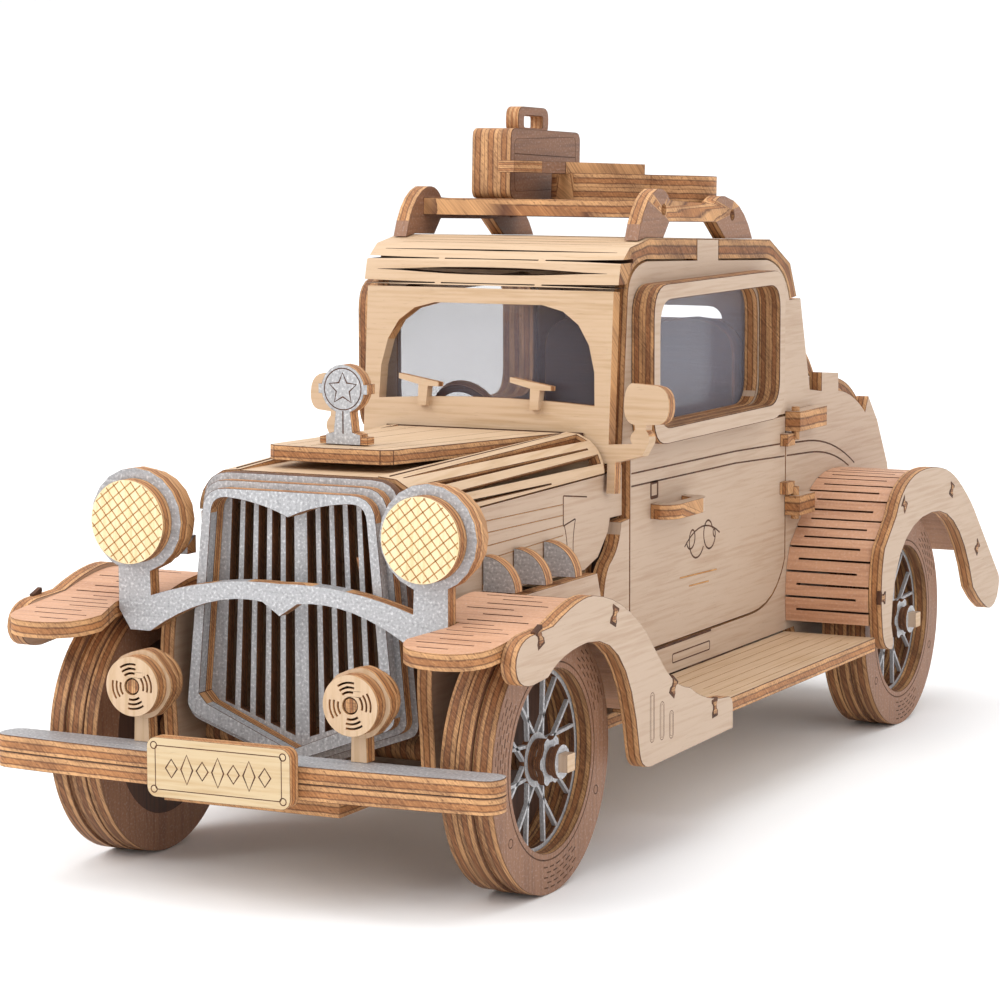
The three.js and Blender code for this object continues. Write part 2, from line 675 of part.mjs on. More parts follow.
// ---- fenders ---------------------------------------------------------------
const frontFender = new Pen(-12.3, 27.6)
  .curve(-16.6, 27.6, -16.8, 30.4)
  .curve(-16.6, 33.0, -13.0, 33.4)
  .line(-7, 33.7)
  .curve(0, 36.2, 4, 35.8)
  .curve(12, 34.8, 19, 29.6)
  .line(24.6, 24.3)
  .curve(28.4, 20.9, 33, 20.2)
  .curve(38, 17.4, 45.6, 17.0)
  .curve(47.1, 16.8, 47.1, 15.3)
  .line(47.1, 12.6)
  .line(20.6, 12.2)
  .curve(18.0, 12.4, 17.5, 14.5)
  .line(16.4, 18.9)
  .curve(13.0, 30.4, 2.3, 30.4)
  .curve(-5, 30.2, -8.4, 27.9);
const frontPlate = plateX(frontFender, NOSE_FENDER_X - PLY, NOSE_FENDER_X, 6);
addPair("front_fender_side", frontPlate.translate(0, NOSE_FENDER_Y, 0), "birch");

// Bent skin: the run of its top face, thickened downwards, trimmed in plan.
const frontSkin = new Pen(-22.6, 32.2)
  .line(-12, 33.2)
  .line(-7, 33.6)
  .curve(0, 35.6, 4, 35.3)
  .curve(12, 34.2, 19, 29.0)
  .line(24.3, 23.8)
  .curve(28.2, 20.3, 33, 19.6)
  .curve(37, 17.3, 42, 16.6)
  .line(42, 15.0)
  .curve(36, 15.6, 32.4, 18.0)
  .curve(27, 19.0, 23.3, 22.6)
  .line(18, 27.6)
  .curve(11, 32.6, 4, 33.7)
  .curve(0, 34.0, -6.4, 31.8)
  .line(-12, 31.2)
  .line(-22.6, 30.2);
const skinEdge = NOSE_FENDER_X - PLY - FIT;
const skinPlan = new Pen(SIDE_X + FIT, 60)
  .line(skinEdge, 60)
  .line(skinEdge, -18.5)
  .curve(skinEdge, -23.8, 27.0, -23.8)
  .curve(21.4, -23.6, 20.8, -18.6)
  .line(22.6 + GAP, BAR_Y - GAP)
  .line(22.6 + GAP, BAR_Y + PLY + GAP)
  .line(SIDE_X + FIT, BAR_Y + PLY + GAP);
addPair(
  "front_fender_skin",
  common(
    plateX(frontSkin, SIDE_X - 1, NOSE_FENDER_X, 6).translate(0, NOSE_FENDER_Y, 0),
    plateZ(skinPlan, 0, 60, 6),
  ),
  "copper",
);

const rearFender = new Pen(108.2, 13.6)
  .curve(104.4, 13.8, 104.0, 17.5)
  .curve(102.6, 24.6, 104.7, 29)
  .line(109.5, 33.2)
  .curve(112.6, 38.9, 122.4, 38.9)
  .curve(131.5, 38.9, 137.2, 35.7)
  .curve(142.0, 33.0, 145.2, 30.2)
  .line(157.6, 18.6)
  .curve(158.75, 17.2, 157.0, 14.8)
  .curve(154.2, 12.4, 150.4, 14.6)
  .curve(148.4, 15.4, 145.0, 18.0)
  .curve(138.4, 32.2, 125.1, 32.0)
  .curve(108.6, 32.0, 107.8, 17.5)
  .line(108.8, 14.6);
addPair("rear_fender_side", plateX(rearFender, FENDER_X - PLY, FENDER_X, 7), "birch");

const rearSkin = new Pen(103.6, 17.6)
  .curve(102.6, 24.4, 105.2, 28.8)
  .line(109.9, 32.8)
  .curve(113.0, 38.3, 122.4, 38.3)
  .curve(131.2, 38.3, 136.9, 35.2)
  .curve(141.6, 32.4, 144.8, 29.6)
  .line(150.6, 24.2)
  .line(149.5, 23.0)
  .line(143.7, 28.4)
  .curve(140.6, 31.0, 136.1, 33.8)
  .curve(130.8, 36.7, 122.4, 36.7)
  .curve(114.2, 36.7, 111.0, 31.8)
  .line(106.4, 28.0)
  .curve(104.2, 24.4, 105.2, 17.6);
addPair(
  "rear_fender_skin",
  plateX(rearSkin, SIDE_X + FIT, FENDER_X - PLY - FIT, 5),
  "copper",
);

const board = new Pen(SIDE_X + FIT, 42.2)
  .line(NOSE_FENDER_X - PLY - FIT, 42.2)
  .line(NOSE_FENDER_X - PLY - FIT, 45.8)
  .line(BOARD_X, 45.8)
  .line(BOARD_X, 103.2)
  .line(SIDE_X + FIT, 103.2);
addPair("running_board", plateZ(board, 16 - PLY, 16), "birch");

// ---- cab -------------------------------------------------------------------
const windshield = new Pen(-15.4, 30)
  .line(15.4, 30)
  .line(15.4, 46.8)
  .line(18.1, 46.8)
  .line(18.1, 42.9)
  .line(19.2, 42.9)
  .line(19.2, 47.0)
  .line(23.0, 48.0)
  .line(23.7, 49.3)
  .curve(24.4, 50.4, 23.4, 51.4)
  .line(23.4, 52.0)
  .line(25.4, 52.2)
  .curve(26.6, 52.6, 26.6, 54.5)
  .curve(26.6, 57.0, 24.6, 57.2)
  .line(21.2, 57.4)
  .curve(20.2, 57.0, 20.2, 54.6)
  .curve(20.2, 52.2, 21.8, 52.0)
  .line(21.9, 51.4)
  .curve(20.8, 50.3, 21.6, 49.5)
  .line(18.2, 49.3)
  .line(18.2, 69.2)
  .line(-18.2, 69.2)
  .line(-18.2, 49.3)
  .line(-21.6, 49.5)
  .curve(-20.8, 50.3, -21.9, 51.4)
  .line(-21.8, 52.0)
  .curve(-20.2, 52.2, -20.2, 54.6)
  .curve(-20.2, 57.0, -21.2, 57.4)
  .line(-24.6, 57.2)
  .curve(-26.6, 57.0, -26.6, 54.5)
  .curve(-26.6, 52.6, -25.4, 52.2)
  .line(-23.4, 52.0)
  .line(-23.4, 51.4)
  .curve(-24.4, 50.4, -23.7, 49.3)
  .line(-23.0, 48.0)
  .line(-19.2, 47.0)
  .line(-19.2, 42.9)
  .line(-18.1, 42.9)
  .line(-18.1, 46.8)
  .line(-15.4, 46.8);
const screenHole = new Pen(-16, 54.2)
  .curve(-16.4, 66.4, -8, 67.2)
  .line(8, 67.2)
  .curve(16.4, 66.4, 16, 54.2)
  .curve(0, 55.4, -16, 54.2);
windshield.hole(screenHole.shape);
const screen = roundRect(-16.4, 52.6, 16.4, 68.4, 3);
add("windshield_pane", rakeBack(plateY(screen, DASH_Y + PLY + FIT, DASH_Y + PLY + FIT + PANE)), "pane");

const wiperBlade = new Pen(-12.6, 57.6)
  .line(-6.6, 56.6)
  .line(-6.6, 56.0)
  .line(-8.2, 56.0)
  .line(-8.4, 53.4)
  .line(-9.6, 53.4)
  .line(-9.6, 56.2)
  .line(-12.6, 56.9);
const rightWiper = plateY(wiperBlade, DASH_Y - 0.9, DASH_Y + 0.6);
const leftWiper = rightWiper.clone().translate(16.6, 0, 0);
const screenPlate = plateY(windshield, DASH_Y, DASH_Y + PLY, 5);
add("windshield_plate", rakeBack(join(screenPlate, rightWiper, leftWiper)), "birch");

const roof = new Pen(43.9, 69.5)
  .line(44.7, 72.6)
  .line(47.6, 74.7)
  .line(53.8, 75.7)
  .line(96.4, 73.9)
  .line(104.4, 70.1)
  .line(107.0, 65.2)
  .line(104.6, 65.0)
  .curve(102.8, 70.1, 95.6, 71.25)
  .line(53.0, 73.0)
  .curve(47.2, 72.6, 46.6, 69.5);
const railSlot = (side) => block(
  side * (SIDE_X - PLY - GAP),
  side * (SIDE_X + 1),
  69.7,
  77.7,
  71,
  76,
);
add("roof_panel", cut(plateX(roof, -SIDE_X, SIDE_X, 6), railSlot(1), railSlot(-1)), "birch");

const backPanel = new Pen(-16.6, 50)
  .line(16.6, 50)
  .line(16.6, 66.5)
  .curve(0, 67.2, -16.6, 66.5)
  .hole(roundRect(-9, 56.5, 9, 64, 2.2));
const back = plateY(backPanel, 103.4, 105.4, 5).translate(0, -105, -66).rotateX(0.2);
add("back_panel", back.translate(0, 103.0, 66), "birch");

// Rear deck: a raised lid in front of the bent tail skin.
const lidSkin = new Pen(109.6, 61.4)
  .curve(120, 59.6, 126.0, 52.0)
  .line(123.8, 52.0)
  .curve(118.8, 57.2, 110.4, 59.2);
add("trunk_lid", plateX(lidSkin, -14.4, 14.4, 6), "birch");
const tail = new Pen(117.9, 51.4)
  .line(127.5, 51.7)
  .curve(133.5, 51.0, 137.4, 48.2)
  .line(142.2, 44.2)
  .line(148.9, 37.1)
  .curve(152.2, 27, 152.2, 19)
  .line(150.3, 19)
  .curve(150.2, 27, 147.2, 36.6)
  .line(141.0, 43.0)
  .line(136.2, 46.6)
  .curve(131.2, 49.6, 127.3, 50.0)
  .line(117.9, 50.1);
const tailSkin = plateX(tail, -(SIDE_X - PLY - FIT), SIDE_X - PLY - FIT, 6);
add("tail_skin", tailSkin, "birch");

// ---- cab interior ----------------------------------------------------------
const seatBase = block(-15.2, 15.2, 76, 96, FLOOR_Z + FIT, 34);
const seatOutline = new Pen(-15, 33)
  .line(15, 33)
  .line(15, 58)
  .curve(14.6, 62.4, 8, 62.6)
  .curve(1.4, 62.4, 0, 59)
  .curve(-1.4, 62.4, -8, 62.6)
  .curve(-14.6, 62.4, -15, 58);
add("seat", join(seatBase, plateY(seatOutline, 92, 96, 5)), "brown");

const WHEEL_AT = new THREE.Vector3(-9.4, 55.5, 51.2);
const COLUMN_LEAN = THREE.MathUtils.degToRad(24);
function placeOnColumn(geometry) {
  return geometry.rotateX(COLUMN_LEAN).translate(WHEEL_AT.x, WHEEL_AT.y, WHEEL_AT.z);
}
const wheelRing = disc(0, 0, 4.8);
wheelRing.holes.push(disc(0, 0, 3.7));
const steering = join(
  plateY(wheelRing, -0.8, 0.8, 12),
  block(-4.2, 4.2, -0.8, 0.8, -0.55, 0.55),
  plateY(disc(0, 0, 1.3), -1.4, 1.2, 6),
);
add("steering_wheel", placeOnColumn(steering), "edge");
const dash = block(-15.3, 15.3, DASH_Y + PLY + 1.2, DASH_Y + PLY + 3.2, 44, 51.6);
const column = placeOnColumn(plateY(disc(0, 0, 0.9), -8.4, -1.6, 6));
add("dash_board", join(dash, column), "birch");

// ---- roof rack and luggage -------------------------------------------------
const RACK_HALF = 18.3; // outer face of the rack's two sides
const rackSide = new Pen(51.3, 75.45)
  .curve(53.4, 81.3, 57.8, 82.1)
  .curve(60.4, 82.3, 61.8, 80.5)
  .line(77.0, 79.5)
  .curve(79.4, 81.1, 81.8, 80.3)
  .curve(87.8, 79.5, 91.0, 74.2)
  .line(81.2, 74.6)
  .line(77.8, 77.0)
  .line(61.6, 77.6)
  .line(59.6, 75.52)
  .line(53.9, 75.78)
  .hole(disc(59.7, 79.3, 0.8))
  .hole(disc(83.6, 77.8, 0.8));
const rackLeft = plateX(rackSide, RACK_HALF - PLY, RACK_HALF, 5);
const RACK_TILT = -0.042;
function onRack(geometry) {
  return geometry.rotateX(RACK_TILT).translate(0, 59, 78.2);
}
const deckHalf = RACK_HALF - 1.5;
const rackFloor = new Pen(-deckHalf, -2.6)
  .line(deckHalf, -2.6)
  .line(deckHalf, 26.6)
  .line(-deckHalf, 26.6);
for (let i = 0; i < 3; i += 1) {
  const slot = roundRect(-13.5, 0.6 + i * 8.6, 13.5, 5.8 + i * 8.6, 0.8);
  rackFloor.hole(slot);
}
const rackDeck = onRack(plateZ(rackFloor, 0, 2.3));
add("roof_rack", join(rackDeck, rackLeft, mirrorX(rackLeft)), "copper");

const caseSide = roundRect(1.4, 2.35, 23.6, 12.0, 1.4);
const grip = roundRect(7.6, 11.5, 17.2, 15.2, 1.5);
grip.holes.push(roundRect(9.4, 12.3, 15.4, 14.0, 0.5));
const suitcase = join(plateX(caseSide, -11, -5, 4), plateX(grip, -9, -7, 4));
add("suitcase", onRack(suitcase), "copper");

// The guitar lies across the rack with its head pointing at the front corner.
const GUITAR_TURN = THREE.MathUtils.degToRad(-27);
function layGuitar(geometry) {
  return onRack(geometry.rotateZ(GUITAR_TURN).translate(5.5, 17.6, 0));
}
const guitarBody = new Pen(0, -11.5)
  .curve(6.4, -11.5, 6.4, -5.6)
  .curve(6.4, -1.6, 4.8, 0)
  .curve(5.8, 1.6, 7.2, 6.0)
  .curve(7.3, 13.2, 0, 13.2)
  .curve(-7.3, 13.2, -7.2, 6.0)
  .curve(-5.8, 1.6, -4.8, 0)
  .curve(-6.4, -1.6, -6.4, -5.6)
  .curve(-6.4, -11.5, 0, -11.5);
const neckOutline = new Pen(-1, -9.8)
  .line(1, -9.8)
  .line(0.8, -16)
  .line(2.2, -17)
  .line(1.8, -21.5)
  .line(-1.8, -21.5)
  .line(-2.0, -17)
  .line(-0.8, -16);
const guitar = join(
  plateZ(guitarBody, 2.35, 6.0, 6),
  plateZ(neckOutline, 5.9, 7.5, 4),
  block(-1, 1, -12, 2.0, 5.9, 7.5),
);
add("guitar", layGuitar(guitar), "copper");

export default car;
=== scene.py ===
"""Dresses a plywood puzzle car: bare and painted veneers, scorched laser cuts, kerf slits and engraving.

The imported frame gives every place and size. Lengths here are millimetres in the maker's
own layout: X to the car's left, Y backwards from the front axle, Z up from the ground.
"""

from __future__ import annotations

import logging
import math
from collections.abc import Callable, Sequence
from dataclasses import dataclass
from enum import Enum

import bmesh
import bpy
from mathutils import Matrix, Vector
from mathutils.bvhtree import BVHTree
from mathutils.geometry import tessellate_polygon


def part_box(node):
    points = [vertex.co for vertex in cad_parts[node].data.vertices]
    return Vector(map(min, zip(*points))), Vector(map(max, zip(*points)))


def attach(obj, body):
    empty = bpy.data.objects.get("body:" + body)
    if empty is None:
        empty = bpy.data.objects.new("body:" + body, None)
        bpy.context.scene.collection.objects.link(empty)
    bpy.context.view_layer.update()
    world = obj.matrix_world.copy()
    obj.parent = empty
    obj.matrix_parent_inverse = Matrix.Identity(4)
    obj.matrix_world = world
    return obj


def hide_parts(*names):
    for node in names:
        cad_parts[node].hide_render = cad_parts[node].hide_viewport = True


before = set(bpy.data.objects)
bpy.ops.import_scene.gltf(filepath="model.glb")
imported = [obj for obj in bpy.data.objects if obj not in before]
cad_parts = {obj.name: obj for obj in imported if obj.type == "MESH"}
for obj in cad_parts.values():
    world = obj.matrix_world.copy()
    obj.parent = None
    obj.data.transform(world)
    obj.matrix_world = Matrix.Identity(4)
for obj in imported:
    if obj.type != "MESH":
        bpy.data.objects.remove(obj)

LOG = logging.getLogger("coupe")
MM = 0.001
PLY = 2.0
PANE = 0.5
SIDES = {"right": -1, "left": 1}

# Mesh work: when two corners are one, when two faces are one, how deep a probe starts, and no hit.
SAME_PLACE = 2e-6
SAME_PLANE = math.radians(0.4)
PROBE_START = 2e-5
NO_HIT = 1e9
# Engraving: how far a line stands proud of its face, and how deep it goes, in millimetres.
LINE_LIFT = 0.02
LINE_DEPTH = 0.12
# Bevels: corners sharper than this are rubbed down.
CORNER_ANGLE = math.radians(40)

Point = tuple[float, float]
Colour = tuple[float, float, float, float]


def node_span(node: str, axis: int) -> tuple[float, float]:
    """Tells where a node starts and ends along one axis.

    Args:
        node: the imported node's name.
        axis: 0, 1 or 2.

    Returns:
        Its lowest and highest coordinate in millimetres.
    """
    low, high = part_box(node)
    return low[axis] / MM, high[axis] / MM


AXLE_Y = sum(node_span("front_tyre_left", 1)) / 2
WHEELBASE = sum(node_span("rear_tyre_left", 1)) / 2 - AXLE_Y


def srgb(red: int, green: int, blue: int) -> Colour:
    """Turns a paint-card colour into a shader colour.

    Args:
        red: red, 0 to 255.
        green: green, 0 to 255.
        blue: blue, 0 to 255.

    Returns:
        The linear colour with full alpha.
    """
    channels = [c / 255 for c in (red, green, blue)]
    linear = [c / 12.92 if c <= 0.04045 else ((c + 0.055) / 1.055) ** 2.4 for c in channels]
    return (linear[0], linear[1], linear[2], 1.0)


# ---- finishes ------------------------------------------------------------------------


class Desk:
    """Lays out the shader nodes of one finish."""

    def __init__(self, name: str) -> None:
        """Starts a material.

        Args:
            name: the material's name.
        """
        self.material = bpy.data.materials.new(name)
        self.material.use_nodes = True
        self.tree = self.material.node_tree
        self.shader = self.tree.nodes["Principled BSDF"]

    def node(self, kind: str, **settings: object) -> bpy.types.Node:
        """Adds a node.

        Args:
            kind: the node's type name.
            **settings: properties to set on it.

        Returns:
            The node.
        """
        made = self.tree.nodes.new(kind)
        for key, value in settings.items():
            setattr(made, key, value)
        return made

    def wire(self, source: bpy.types.NodeSocket, target: bpy.types.NodeSocket) -> None:
        """Links two sockets.

        Args:
            source: the output.
            target: the input.
        """
        self.tree.links.new(source, target)

    def grain(self, along: float, across: float, shift: float = 0.0) -> bpy.types.NodeSocket:
        """Gives the piece's grain coordinates, scaled.

        Args:
            along: cycles per millimetre along the grain.
            across: cycles per millimetre across it, or per sheet on a cut edge.
            shift: moves the pattern.

        Returns:
            The vector socket.
        """
        uv = self.node("ShaderNodeUVMap", uv_map="grain")
        mapping = self.node("ShaderNodeMapping")
        mapping.inputs["Scale"].default_value = (along, across, 1.0)
        mapping.inputs["Location"].default_value = (shift, shift * 0.7, shift)
        self.wire(uv.outputs["UV"], mapping.inputs["Vector"])
        return mapping.outputs["Vector"]

    def noise(self, vector: bpy.types.NodeSocket, detail: float = 4.0) -> bpy.types.NodeSocket:
        """Adds a noise texture.

        Args:
            vector: its coordinates.
            detail: octaves.

        Returns:
            The factor socket.
        """
        made = self.node("ShaderNodeTexNoise")
        made.inputs["Scale"].default_value = 1.0
        made.inputs["Detail"].default_value = detail
        self.wire(vector, made.inputs["Vector"])
        return made.outputs["Fac"]

    def ramp(
        self,
        factor: bpy.types.NodeSocket,
        stops: Sequence[tuple[float, Colour]],
    ) -> bpy.types.NodeSocket:
        """Colours a factor.

        Args:
            factor: what drives the ramp.
            stops: places and colours, in order.

        Returns:
            The colour socket.
        """
        made = self.node("ShaderNodeValToRGB")
        elements = made.color_ramp.elements
        while len(elements) < len(stops):
            elements.new(1.0)
        for element, (place, colour) in zip(elements, stops):
            element.position = place
            element.color = colour
        self.wire(factor, made.inputs["Fac"])
        return made.outputs["Color"]

    def grey(self, factor: bpy.types.NodeSocket, low: float, high: float) -> bpy.types.NodeSocket:
        """Stretches a factor between two limits.

        Args:
            factor: what to stretch.
            low: the value that becomes 0.
            high: the value that becomes 1.

        Returns:
            The clamped value socket.
        """
        made = self.node("ShaderNodeMapRange")
        made.inputs["From Min"].default_value = low
        made.inputs["From Max"].default_value = high
        self.wire(factor, made.inputs["Value"])
        return made.outputs["Result"]

    def blend(
        self,
        factor: bpy.types.NodeSocket | float,
        base: bpy.types.NodeSocket | Colour,
        top: bpy.types.NodeSocket | Colour,
        mode: str = "MIX",
    ) -> bpy.types.NodeSocket:
        """Mixes two colours.

        Args:
            factor: share of the top colour.
            base: the colour below.
            top: the colour above.
            mode: how they mix.

        Returns:
            The colour socket.
        """
        made = self.node("ShaderNodeMix", data_type="RGBA", blend_type=mode)
        for socket, value in zip((made.inputs[0], made.inputs[6], made.inputs[7]), (factor, base, top)):
            if isinstance(value, bpy.types.NodeSocket):
                self.wire(value, socket)
            else:
                socket.default_value = value
        return made.outputs[2]

    def scaled(self, factor: bpy.types.NodeSocket, share: float) -> bpy.types.NodeSocket:
        """Multiplies a factor.

        Args:
            factor: the value.
            share: the constant it is multiplied by.

        Returns:
            The value socket.
        """
        made = self.node("ShaderNodeMath", operation="MULTIPLY")
        self.wire(factor, made.inputs[0])
        made.inputs[1].default_value = share
        return made.outputs[0]

    def sum(
        self,
        first: bpy.types.NodeSocket,
        second: bpy.types.NodeSocket,
        weight: float,
    ) -> bpy.types.NodeSocket:
        """Adds a weighted second value to a first.

        Args:
            first: the main value.
            second: the value that is scaled and added.
            weight: its scale.

        Returns:
            The value socket.
        """
        made = self.node("ShaderNodeMath", operation="MULTIPLY_ADD")
        self.wire(second, made.inputs[0])
        made.inputs[1].default_value = weight
        self.wire(first, made.inputs[2])
        return made.outputs[0]

    def bump(self, height: bpy.types.NodeSocket, depth: float) -> None:
        """Raises the surface by a height.

        Args:
            height: 0 to 1.
            depth: the full height in millimetres.
        """
        made = self.node("ShaderNodeBump")
        made.inputs["Strength"].default_value = 1.0
        made.inputs["Distance"].default_value = depth * MM
        self.wire(height, made.inputs["Height"])
        self.wire(made.outputs["Normal"], self.shader.inputs["Normal"])

    def rough(self, factor: bpy.types.NodeSocket, low: float, high: float) -> None:
        """Lets the gloss vary.

        Args:
            factor: 0 to 1.
            low: roughness at 0.
            high: roughness at 1.
        """
        made = self.node("ShaderNodeMapRange")
        made.inputs["To Min"].default_value = low
        made.inputs["To Max"].default_value = high
        self.wire(factor, made.inputs["Value"])
        self.wire(made.outputs["Result"], self.shader.inputs["Roughness"])


@dataclass(frozen=True)
class Veneer:
    """A rotary-cut face, bare or under thin paint that lets the grain through."""

    pale: Colour
    deep: Colour
    pore: float = 0.3
    figure: float = 0.35
    roughness: float = 0.58
    flake_and_glint: float = 0.0
    metallic: float = 0.0

    def build(self, name: str) -> bpy.types.Material:
        """Makes the material.

        Args:
            name: its name.

        Returns:
            The material.
        """
        desk = Desk(name)
        fibre = desk.noise(desk.grain(0.10, 1.9), 8.0)
        broad = desk.noise(desk.grain(0.018, 0.16, 7.0), 3.0)
        pores = desk.noise(desk.grain(0.55, 7.5, 3.0), 2.0)
        tone = desk.sum(fibre, broad, 0.55)
        stops = [(0.0, self.deep), (0.55, self.pale), (1.0, self.pale)]
        colour = desk.ramp(desk.grey(tone, 0.52, 1.04), stops)
        streak = desk.grey(fibre, 0.62, 0.40)
        colour = desk.blend(desk.scaled(streak, self.figure), colour, self.deep)
        tick = desk.grey(pores, 0.66, 0.74)
        dark = tuple(c * 0.45 for c in self.deep[:3]) + (1.0,)
        colour = desk.blend(desk.scaled(tick, self.pore), colour, dark)
        height = desk.sum(fibre, tick, -0.6)
        # Metal flakes in the paint: dark specks, and white specks that are painted glints of the flakes.
        if self.flake_and_glint > 0:
            spark = desk.noise(desk.grain(2.9, 2.9, 11.0), 2.0)
            painted_glint = desk.grey(spark, 0.55, 0.68)
            dull = desk.grey(spark, 0.45, 0.33)
            colour = desk.blend(desk.scaled(painted_glint, self.flake_and_glint), colour, (1.0, 1.0, 1.0, 1.0))
            colour = desk.blend(desk.scaled(dull, self.flake_and_glint), colour, dark)
            height = desk.sum(height, spark, 0.8)
        desk.wire(colour, desk.shader.inputs["Base Color"])
        desk.shader.inputs["Metallic"].default_value = self.metallic
        desk.rough(fibre, self.roughness - 0.1, self.roughness + 0.12)
        desk.bump(height, 0.035)
        return desk.material


@dataclass(frozen=True)
class CutEdge:
    """A laser-cut edge: veneers, core and glue lines under uneven scorch."""

    skin: Colour
    core: Colour
    glue: Colour
    char: Colour
    scorch: float = 0.5

    def build(self, name: str) -> bpy.types.Material:
        """Makes the material.

        Args:
            name: its name.

        Returns:
            The material.
        """
        desk = Desk(name)
        split = desk.node("ShaderNodeSeparateXYZ")
        desk.wire(desk.grain(1.0, 1.0), split.inputs[0])
        wander = desk.noise(desk.grain(0.35, 0.8, 5.0), 3.0)
        level = desk.sum(split.outputs["Y"], wander, 0.14)
        layer = desk.node("ShaderNodeMath", operation="FRACT")
        desk.wire(level, layer.inputs[0])
        bands = [
            (0.00, self.glue),
            (0.07, self.skin),
            (0.24, self.skin),
            (0.31, self.glue),
            (0.38, self.core),
            (0.62, self.core),
            (0.70, self.glue),
            (0.78, self.skin),
            (0.97, self.skin),
        ]
        colour = desk.ramp(layer.outputs[0], bands)
        streak = desk.noise(desk.grain(4.2, 0.55, 2.0), 6.0)
        patch = desk.noise(desk.grain(0.16, 0.9, 9.0), 4.0)
        speck = desk.noise(desk.grain(2.6, 6.0, 4.0), 3.0)
        burn = desk.grey(desk.sum(patch, streak, 0.8), 0.72, 1.12)
        colour = desk.blend(desk.scaled(burn, self.scorch), colour, self.char)
        fine = desk.grey(speck, 0.56, 0.72)
        colour = desk.blend(desk.scaled(fine, 0.7), colour, self.char)
        light = desk.grey(speck, 0.44, 0.30)
        colour = desk.blend(desk.scaled(light, 0.35), colour, self.skin)
        desk.wire(colour, desk.shader.inputs["Base Color"])
        desk.rough(streak, 0.55, 0.82)
        desk.bump(desk.sum(streak, speck, 0.7), 0.07)
        return desk.material


@dataclass(frozen=True)
class Engraved:
    """A burnt line, darker where the beam slowed down."""

    dark: Colour
    light: Colour

    def build(self, name: str) -> bpy.types.Material:
        """Makes the material.

        Args:
            name: its name.

        Returns:
            The material.
        """
        desk = Desk(name)
        heat = desk.noise(desk.grain(0.6, 0.6, 1.0), 5.0)
        grit = desk.noise(desk.grain(8.0, 8.0, 6.0), 2.0)
        colour = desk.ramp(desk.grey(heat, 0.35, 0.65), [(0.0, self.dark), (1.0, self.light)])
        desk.wire(desk.blend(desk.scaled(grit, 0.4), colour, self.dark), desk.shader.inputs["Base Color"])
        desk.rough(grit, 0.7, 0.95)
        desk.bump(grit, 0.03)
        return desk.material


@dataclass(frozen=True)
class ClearSheet:
    """A thin clear pane with faint handling marks."""

    tint: Colour
    cover: float

    def build(self, name: str) -> bpy.types.Material:
        """Makes the material.

        Args:
            name: its name.

        Returns:
            The material.
        """
        desk = Desk(name)
        haze = desk.noise(desk.grain(0.12, 0.12, 2.0), 5.0)
        smear = desk.noise(desk.grain(0.9, 0.2, 8.0), 3.0)
        tone = desk.ramp(haze, [(0.3, self.tint), (0.8, tuple(c * 0.86 for c in self.tint[:3]) + (1.0,))])
        desk.wire(tone, desk.shader.inputs["Base Color"])
        desk.shader.inputs["Alpha"].default_value = self.cover
        desk.shader.inputs["Coat Weight"].default_value = 0.4
        desk.rough(smear, 0.04, 0.16)
        return desk.material


@dataclass(frozen=True)
class Seamless:
    """The matte paper of the floor and backdrop."""

    shade: Colour

    def build(self, name: str) -> bpy.types.Material:
        """Makes the material.

        Args:
            name: its name.

        Returns:
            The material.
        """
        desk = Desk(name)
        desk.shader.inputs["Base Color"].default_value = self.shade
        desk.shader.inputs["Roughness"].default_value = 0.9
        desk.shader.inputs["Specular IOR Level"].default_value = 0.1
        return desk.material


class Finish(Enum):
    """Every finish on the model."""

    BIRCH = Veneer(srgb(201, 172, 141), srgb(184, 152, 115), 0.2, 0.24)
    BODY = Veneer(srgb(189, 165, 143), srgb(174, 146, 121), 0.18, 0.2)
    # Silver paint: its white specks are painted glints of the metal flakes.
    SILVER = Veneer(srgb(178, 178, 180), srgb(158, 158, 160), 0.1, 0.05, 0.5, 0.38, 0.25)
    COPPER = Veneer(srgb(206, 158, 125), srgb(182, 133, 103), 0.25, 0.25, 0.55, 0.08, 0.05)
    TAUPE = Veneer(srgb(142, 102, 76), srgb(118, 80, 56), 0.2, 0.2, 0.55, 0.08, 0.05)
    COCOA = Veneer(srgb(78, 52, 39), srgb(54, 35, 26), 0.3, 0.3, 0.6)
    LENS = Veneer(srgb(238, 218, 176), srgb(224, 196, 144), 0.12, 0.15)
    LABEL = Veneer(srgb(203, 180, 143), srgb(188, 158, 116), 0.15, 0.2)
    EDGE = CutEdge(srgb(214, 162, 110), srgb(182, 124, 74), srgb(100, 61, 36), srgb(86, 47, 25), 0.6)
    TREAD = CutEdge(srgb(200, 150, 100), srgb(154, 100, 58), srgb(92, 58, 36), srgb(76, 44, 24), 0.75)
    DEEP_EDGE = CutEdge(srgb(132, 86, 50), srgb(104, 62, 32), srgb(62, 36, 20), srgb(52, 28, 14), 0.8)
    BURNT = Engraved(srgb(58, 32, 18), srgb(98, 58, 32))
    SCORCH = Engraved(srgb(170, 116, 62), srgb(204, 156, 96))
    HATCH = Engraved(srgb(176, 124, 66), srgb(206, 160, 100))
    PANE = ClearSheet(srgb(206, 208, 226), 0.16)
    # Windshield pane: its grey tint is painted shade that darkens the cab seen through it.
    SCREEN = ClearSheet(srgb(92, 88, 98), 0.28)
    PAPER = Seamless(srgb(250, 250, 250))

    def material(self) -> bpy.types.Material:
        """Gives the finish's material, made once.

        Returns:
            The material.
        """
        found = bpy.data.materials.get(self.name.lower())
        return found or self.value.build(self.name.lower())


class Axis(Enum):
    """The way a sheet faces; its own two axes are the other two, in order."""

    X = 0
    Y = 1
    Z = 2

    def spot(self, u: float, v: float, w: float) -> Vector:
        """Turns sheet coordinates into a place.

        Args:
            u: first coordinate in the sheet.
            v: second coordinate in the sheet.
            w: coordinate through the sheet.

        Returns:
            The place in metres in the frame.
        """
        if self is Axis.X:
            place = (w, u, v)
        elif self is Axis.Y:
            place = (u, w, v)
        else:
            place = (u, v, w)
        return Vector((place[0], place[1] + AXLE_Y, place[2])) * MM


# ---- outlines ------------------------------------------------------------------------


